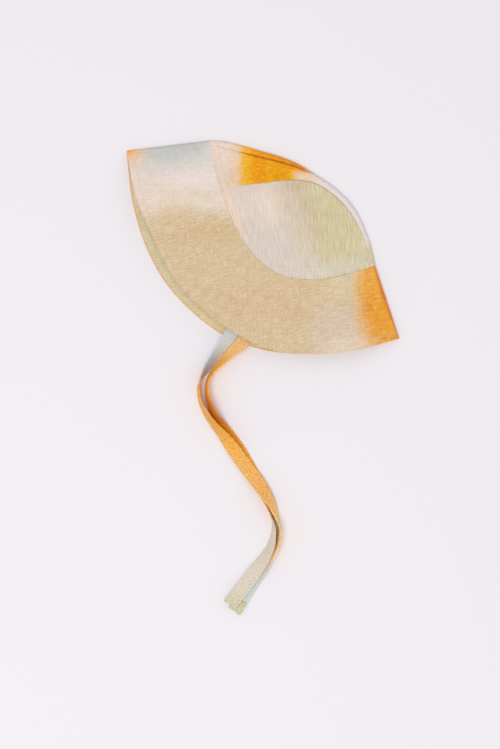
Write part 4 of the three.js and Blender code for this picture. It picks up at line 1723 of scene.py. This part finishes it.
@dataclass(frozen=True)
class Strap:
    """A chin strap: a flat tube of linen, turned and stitched, which lies on its route."""

    name: str
    node: str
    route: tuple[RoutePoint, ...]
    finish: Finish
    slot: str
    width: float = 0.0135
    thickness: float = 0.0014
    lying_thickness: float = 0.0015
    stitch_across: float = -0.00385
    steps: int = 420
    groove: float = 0.00014
    groove_width: float = 0.0005
    squareness: float = 7.0
    edge_shares: tuple[float, ...] = (0.9996, 0.997, 0.99, 0.975, 0.95, 0.90, 0.82, 0.74)
    face_shares: tuple[float, ...] = (-0.6, -0.4, -0.2, 0.0, 0.2, 0.4, 0.6)
    groove_shares: tuple[float, ...] = (-0.09, -0.04, 0.0, 0.04, 0.09)
    clear_share: float = 0.12
    softness: float = 0.10
    swells_per_metre: tuple[float, float] = (130.0, 120.0)
    box_half_width: float = 0.0048
    box_span: tuple[float, float] = (0.0130, 0.0015)
    box_steps: int = 12

    def centre(self, point: RoutePoint) -> Vector:
        """Gives the middle of the strap at a point of its route."""
        turn = math.radians(point.roll_deg)
        half = (self.width * abs(math.sin(turn)) + self.lying_thickness * abs(math.cos(turn))) / 2
        return Vector((point.x, point.y, point.low + half))

    def line(self) -> SmoothLine:
        """Gives the strap's middle line."""
        return SmoothLine(self.centre(point) for point in self.route)

    def rolls(self) -> SmoothLine:
        """Gives the strap's roll along its route, as the height of a line."""
        return SmoothLine((i, 0.0, math.radians(p.roll_deg)) for i, p in enumerate(self.route))

    def frames(self) -> list[tuple[Vector, Vector, Vector, float]]:
        """Lists sections along the strap.

        Returns:
            For each section its middle, the direction across it, the direction through it, and
            the distance along the strap.
        """
        line, rolls = self.line(), self.rolls()
        middles = line.samples(self.steps)
        sections = []
        travelled = 0.0
        for i, middle in enumerate(middles):
            ahead = middles[min(i + 1, self.steps)]
            behind = middles[max(i - 1, 0)]
            run = (ahead - behind).normalized()
            roll = rolls.at(i / self.steps).z
            across = outward_of(run) * math.cos(roll) + UP * math.sin(roll)
            across = (across - run * across.dot(run)).normalized()
            if i:
                travelled += (middle - middles[i - 1]).length
            sections.append((middle, across, run.cross(across), travelled))
        return sections

    def outline(self) -> list[tuple[float, float]]:
        """Draws the section's outline: two soft faces with rounded edges and a stitched groove.

        Returns:
            Points round the section, each as its place across the strap and through it.
        """
        half = self.width / 2
        stitch = self.stitch_across / half
        in_groove = [stitch + step for step in self.groove_shares]
        plain = [share for share in self.face_shares if abs(share - stitch) > self.clear_share]
        middle = sorted([*in_groove, *plain], reverse=True)
        shares = [*self.edge_shares, *middle, *(-share for share in reversed(self.edge_shares))]
        face = []
        for share in shares:
            height = self.thickness / 2 * (1 - abs(share) ** self.squareness) ** (1 / self.squareness)
            groove = self.groove * bell((share - stitch) * half, self.groove_width)
            face.append((share * half, height - groove))
        back = [(across, -through) for across, through in reversed(face)]
        return [*face, (-half, 0.0), *back, (half, 0.0)]

    def build(self, with_pieces: Sequence[bpy.types.Object]) -> bpy.types.Object:
        """Args:
            with_pieces: the pieces that are sewn on it.

        Returns:
            The piece, which stands for the CAD's strap.
        """
        sections = self.frames()
        outline = self.outline()
        along_scale, across_scale = self.swells_per_metre

        def place(column: int, row: int) -> Placed:
            """Puts one point of the strap's skin in place."""
            middle, across, through, travelled = sections[column]
            wide, thick = outline[row % len(outline)]
            swell = noise.noise(Vector((travelled * along_scale, wide * across_scale, STRAP_RELIEF)))
            point = middle + across * wide + through * (thick * (1 + self.softness * swell))
            point.z = max(point.z, 0.0)
            return Placed(point, (travelled, wide + 0.5 * self.width))

        work = shaped_grid(len(sections) - 1, len(outline), place)
        ends = [edge for edge in work.edges if edge.is_boundary]
        bmesh.ops.holes_fill(work, edges=ends, sides=len(outline) + 1)
        bmesh.ops.recalc_face_normals(work, faces=work.faces[:])
        piece = finish_piece(self.name, work, (self.finish,), self.slot)
        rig.replaces(piece, self.node)
        path = [section[0] for section in sections]
        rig.cord(
            piece,
            exit=path[0],
            length=round(sections[-1][3], 3),
            diameter=self.width,
            far_end="fitting",
            stiffness="limp",
            lay="loose",
            path=path,
            with_pieces=with_pieces,
        )
        return piece

    def stitches(self, stitching: Stitching) -> bpy.types.Object:
        """Sews the line that closes the strap, and the box that holds its patch.

        Args:
            stitching: how the stitches are made.

        Returns:
            The stitches, as one piece.
        """
        work = bmesh.new()
        sections = self.frames()
        length = sections[-1][3]
        start, stop = (length - from_end for from_end in self.box_span)
        last = [section for section in sections if start <= section[3] <= stop]
        top, half = self.thickness / 2, self.box_half_width
        steps = [-half + 2 * half * i / self.box_steps for i in range(self.box_steps + 1)]
        for side in (1, -1):
            depth = top - self.groove
            line = [
                (middle + across * self.stitch_across + through * (side * depth), through * side)
                for middle, across, through, _ in sections
            ]
            stitching.sew(work, line)
            for wide in (-half, half):
                edge = [
                    (middle + across * wide + through * (side * top), through * side)
                    for middle, across, through, _ in last
                ]
                stitching.sew(work, edge)
            for middle, across, through, _ in (last[0], last[-1]):
                crossing = [
                    (middle + across * wide + through * (side * top), through * side) for wide in steps
                ]
                stitching.sew(work, crossing)
        return finish_piece(self.name.replace("_ribbon", "_stitches"), work, SEWING)


@dataclass(frozen=True)
class Patch:
    """A patch of hook or loop tape: a woven ground with rounded corners and rows of nap."""

    name: str
    node: str
    finish: Finish
    slot: str
    nap_turn_deg: float
    nap_side: int
    length: float = 0.012
    width: float = 0.013
    corner: float = 0.0015
    rim_angle: float = 1.2
    rim_share: float = 0.15
    nap_margin: float = 0.001
    nap_step: float = 0.0011
    nap_shift: float = 0.25
    nap_sink: float = 0.00005
    nap_radius: float = 0.00030
    nap_thread: float = 0.00009
    nap_bends: int = 5

    def build(self, strap: Strap) -> bpy.types.Object:
        """Makes the patch where the CAD's patch lies.

        Args:
            strap: the strap that it is sewn on.

        Returns:
            The piece, which stands for the CAD's patch.
        """
        low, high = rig.box(self.node)
        before, end = strap.route[-2:]
        run = Vector((end.x - before.x, end.y - before.y, 0.0)).normalized()
        centre = (low + high) / 2
        turn = Matrix((run, outward_of(run), UP)).transposed().to_4x4()
        place = Matrix.Translation(centre) @ turn
        thickness = high.z - low.z

        work = bmesh.new()
        size = Matrix.Diagonal((self.length, self.width, 1.0, 1.0))
        bmesh.ops.create_grid(work, x_segments=1, y_segments=1, size=0.5, matrix=size)
        bmesh.ops.bevel(
            work,
            geom=work.verts[:],
            offset=self.corner,
            segments=5,
            profile=0.5,
            affect="VERTICES",
            material=-1,
        )
        grown = bmesh.ops.extrude_face_region(work, geom=work.faces[:])
        top = [item for item in grown["geom"] if isinstance(item, bmesh.types.BMVert)]
        bmesh.ops.translate(work, verts=top, vec=(0.0, 0.0, thickness))
        bmesh.ops.translate(work, verts=work.verts[:], vec=(0.0, 0.0, -thickness / 2))
        bmesh.ops.recalc_face_normals(work, faces=work.faces[:])
        rims = [edge for edge in work.edges if edge.calc_face_angle(0.0) > self.rim_angle]
        bmesh.ops.bevel(
            work,
            geom=rims,
            offset=self.rim_share * thickness,
            segments=2,
            profile=0.5,
            affect="EDGES",
            material=-1,
        )
        self._nap(work, thickness)
        bmesh.ops.transform(work, matrix=place, verts=work.verts[:])
        piece = finish_piece(self.name, work, (self.finish,), self.slot)
        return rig.replaces(piece, self.node)

    def _nap(self, work: bmesh.types.BMesh, thickness: float) -> None:
        """Adds rows of small hooks or loops to the patch's working face.

        Args:
            work: the mesh that they are added to.
            thickness: the thickness of the tape.
        """
        columns = int((self.length - 2 * self.nap_margin) / self.nap_step)
        rows = int((self.width - 2 * self.nap_margin) / self.nap_step)
        for column in range(columns + 1):
            for row in range(rows + 1):
                cells = (noise.cell(Vector((column, row, layer))) for layer in (1.0, 2.0))
                shift = Vector((*cells, 0.0))
                at = Vector(((column - columns / 2) * self.nap_step, (row - rows / 2) * self.nap_step, 0.0))
                at += shift * (self.nap_shift * self.nap_step)
                at.z = self.nap_side * (thickness / 2 - self.nap_sink)
                self._nap_thread(work, at, math.tau * shift.x)

    def _nap_thread(self, work: bmesh.types.BMesh, at: Vector, heading: float) -> None:
        """Bends one thread of the nap, by spinning a three-sided section about its middle.

        Args:
            work: the mesh that it is added to.
            at: the middle of its bend.
            heading: the direction that it bends in, in radians.
        """
        section = bmesh.ops.create_circle(work, segments=3, radius=self.nap_thread)["verts"]
        side = Vector((math.cos(heading), math.sin(heading), 0.0))
        axis = side.cross(UP)
        stand = Matrix((side, axis, UP)).transposed().to_4x4()
        bmesh.ops.transform(
            work, matrix=Matrix.Translation(at + side * self.nap_radius) @ stand, verts=section
        )
        ring = {edge for vertex in section for edge in vertex.link_edges}
        bmesh.ops.spin(
            work,
            geom=[*section, *ring],
            cent=at,
            axis=axis,
            angle=-math.radians(self.nap_turn_deg) * self.nap_side,
            steps=self.nap_bends,
            use_merge=False,
        )


@dataclass(frozen=True)
class Studio:
    """A pale floor, soft daylight from above and a camera that looks straight down."""

    floor_size: float = 6.0
    floor_colour: str = "#F0EDEF"
    floor_roughness: float = 0.9
    floor_specular: float = 0.1
    sky_colour: str = "#F2F0F3"
    sky_strength: float = 0.76
    lamp_at: tuple[float, float, float] = (-0.5, -0.7, 2.5)
    lamp_size: float = 1.5
    lamp_watts: float = 26.0
    camera_at: tuple[float, float] = (-0.0122, -0.1217)
    camera_height: float = 2.2
    sensor_width: float = 36.0

    def camera(self) -> None:
        """Sets the camera straight above the hat, at the photograph's framing."""
        data = bpy.data.cameras.new("camera")
        data.sensor_width = self.sensor_width
        data.lens = self.sensor_width * self.camera_height / FRAME_HEIGHT
        camera = add_object("camera", data)
        camera.location = (*self.camera_at, self.camera_height)
        bpy.context.scene.camera = camera

    def light(self) -> None:
        """Adds one large soft lamp and an even sky."""
        data = bpy.data.lights.new("soft_lamp", "AREA")
        data.shape = "DISK"
        data.size = self.lamp_size
        data.energy = self.lamp_watts
        lamp = add_object("soft_lamp", data)
        lamp.location = self.lamp_at
        aim = Vector((*self.camera_at, 0.0)) - lamp.location
        lamp.rotation_euler = aim.to_track_quat("-Z", "Y").to_euler()
        world = bpy.data.worlds.new("sky")
        world.use_nodes = True
        sky = world.node_tree.nodes["Background"]
        sky.inputs["Color"].default_value = linear_colour(self.sky_colour)
        sky.inputs["Strength"].default_value = self.sky_strength
        bpy.context.scene.world = world
        bpy.context.scene.view_settings.view_transform = "Standard"

    def floor(self) -> None:
        """Lays the floor that the hat rests on, in matt paint, which stays one even pale tone."""
        work = bmesh.new()
        bmesh.ops.create_grid(work, x_segments=1, y_segments=1, size=self.floor_size / 2)
        mesh = bpy.data.meshes.new("floor")
        work.to_mesh(mesh)
        work.free()
        values = {
            "Base Color": linear_colour(self.floor_colour),
            "Roughness": self.floor_roughness,
            "Specular IOR Level": self.floor_specular,
        }
        material, _ = new_material("matt_painted_floor", values)
        mesh.materials.append(material)
        floor = add_object("floor", mesh)
        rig.stage(floor)


def main() -> None:
    """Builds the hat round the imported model."""
    logging.basicConfig(level=logging.INFO, format="%(name)s %(message)s")
    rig.load()
    cad_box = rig.bounds()
    studio = Studio()
    studio.camera()

    stitching = Stitching(UnitBead())
    near = Strap(
        "chin_strap_near_ribbon", "chin_strap_near", NEAR_STRAP_ROUTE, Finish.NEAR_STRAP, "near_strap_linen"
    )
    far = Strap(
        "chin_strap_far_ribbon",
        "chin_strap_far",
        FAR_STRAP_ROUTE,
        Finish.FAR_STRAP,
        "far_strap_linen",
        stitch_across=0.00385,
    )
    hook = Patch("hook_patch_tape", "hook_patch", Finish.HOOK_TAPE, "hook_tape", 230.0, -1)
    loop = Patch("loop_patch_tape", "loop_patch", Finish.LOOP_TAPE, "loop_tape", 180.0, 1)
    for strap, patch in ((near, hook), (far, loop)):
        strap.build([patch.build(strap), strap.stitches(stitching)])

    form = HatForm()
    brim = Brim(form)
    brim.build()
    brim.topstitch(stitching)
    crown = Crown(form)
    cloths = [crown.strip(), crown.side_panel(near=True), crown.side_panel(near=False)]
    crown.topstitch(cloths, stitching)

    studio.light()
    studio.floor()
    sizes = {"cad": [list(corner) for corner in cad_box], "visual": [list(corner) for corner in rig.bounds()]}
    with open(SIZE_FILE, "w", encoding="utf-8") as file:
        json.dump(sizes, file)


if __name__ == "__main__":
    main()
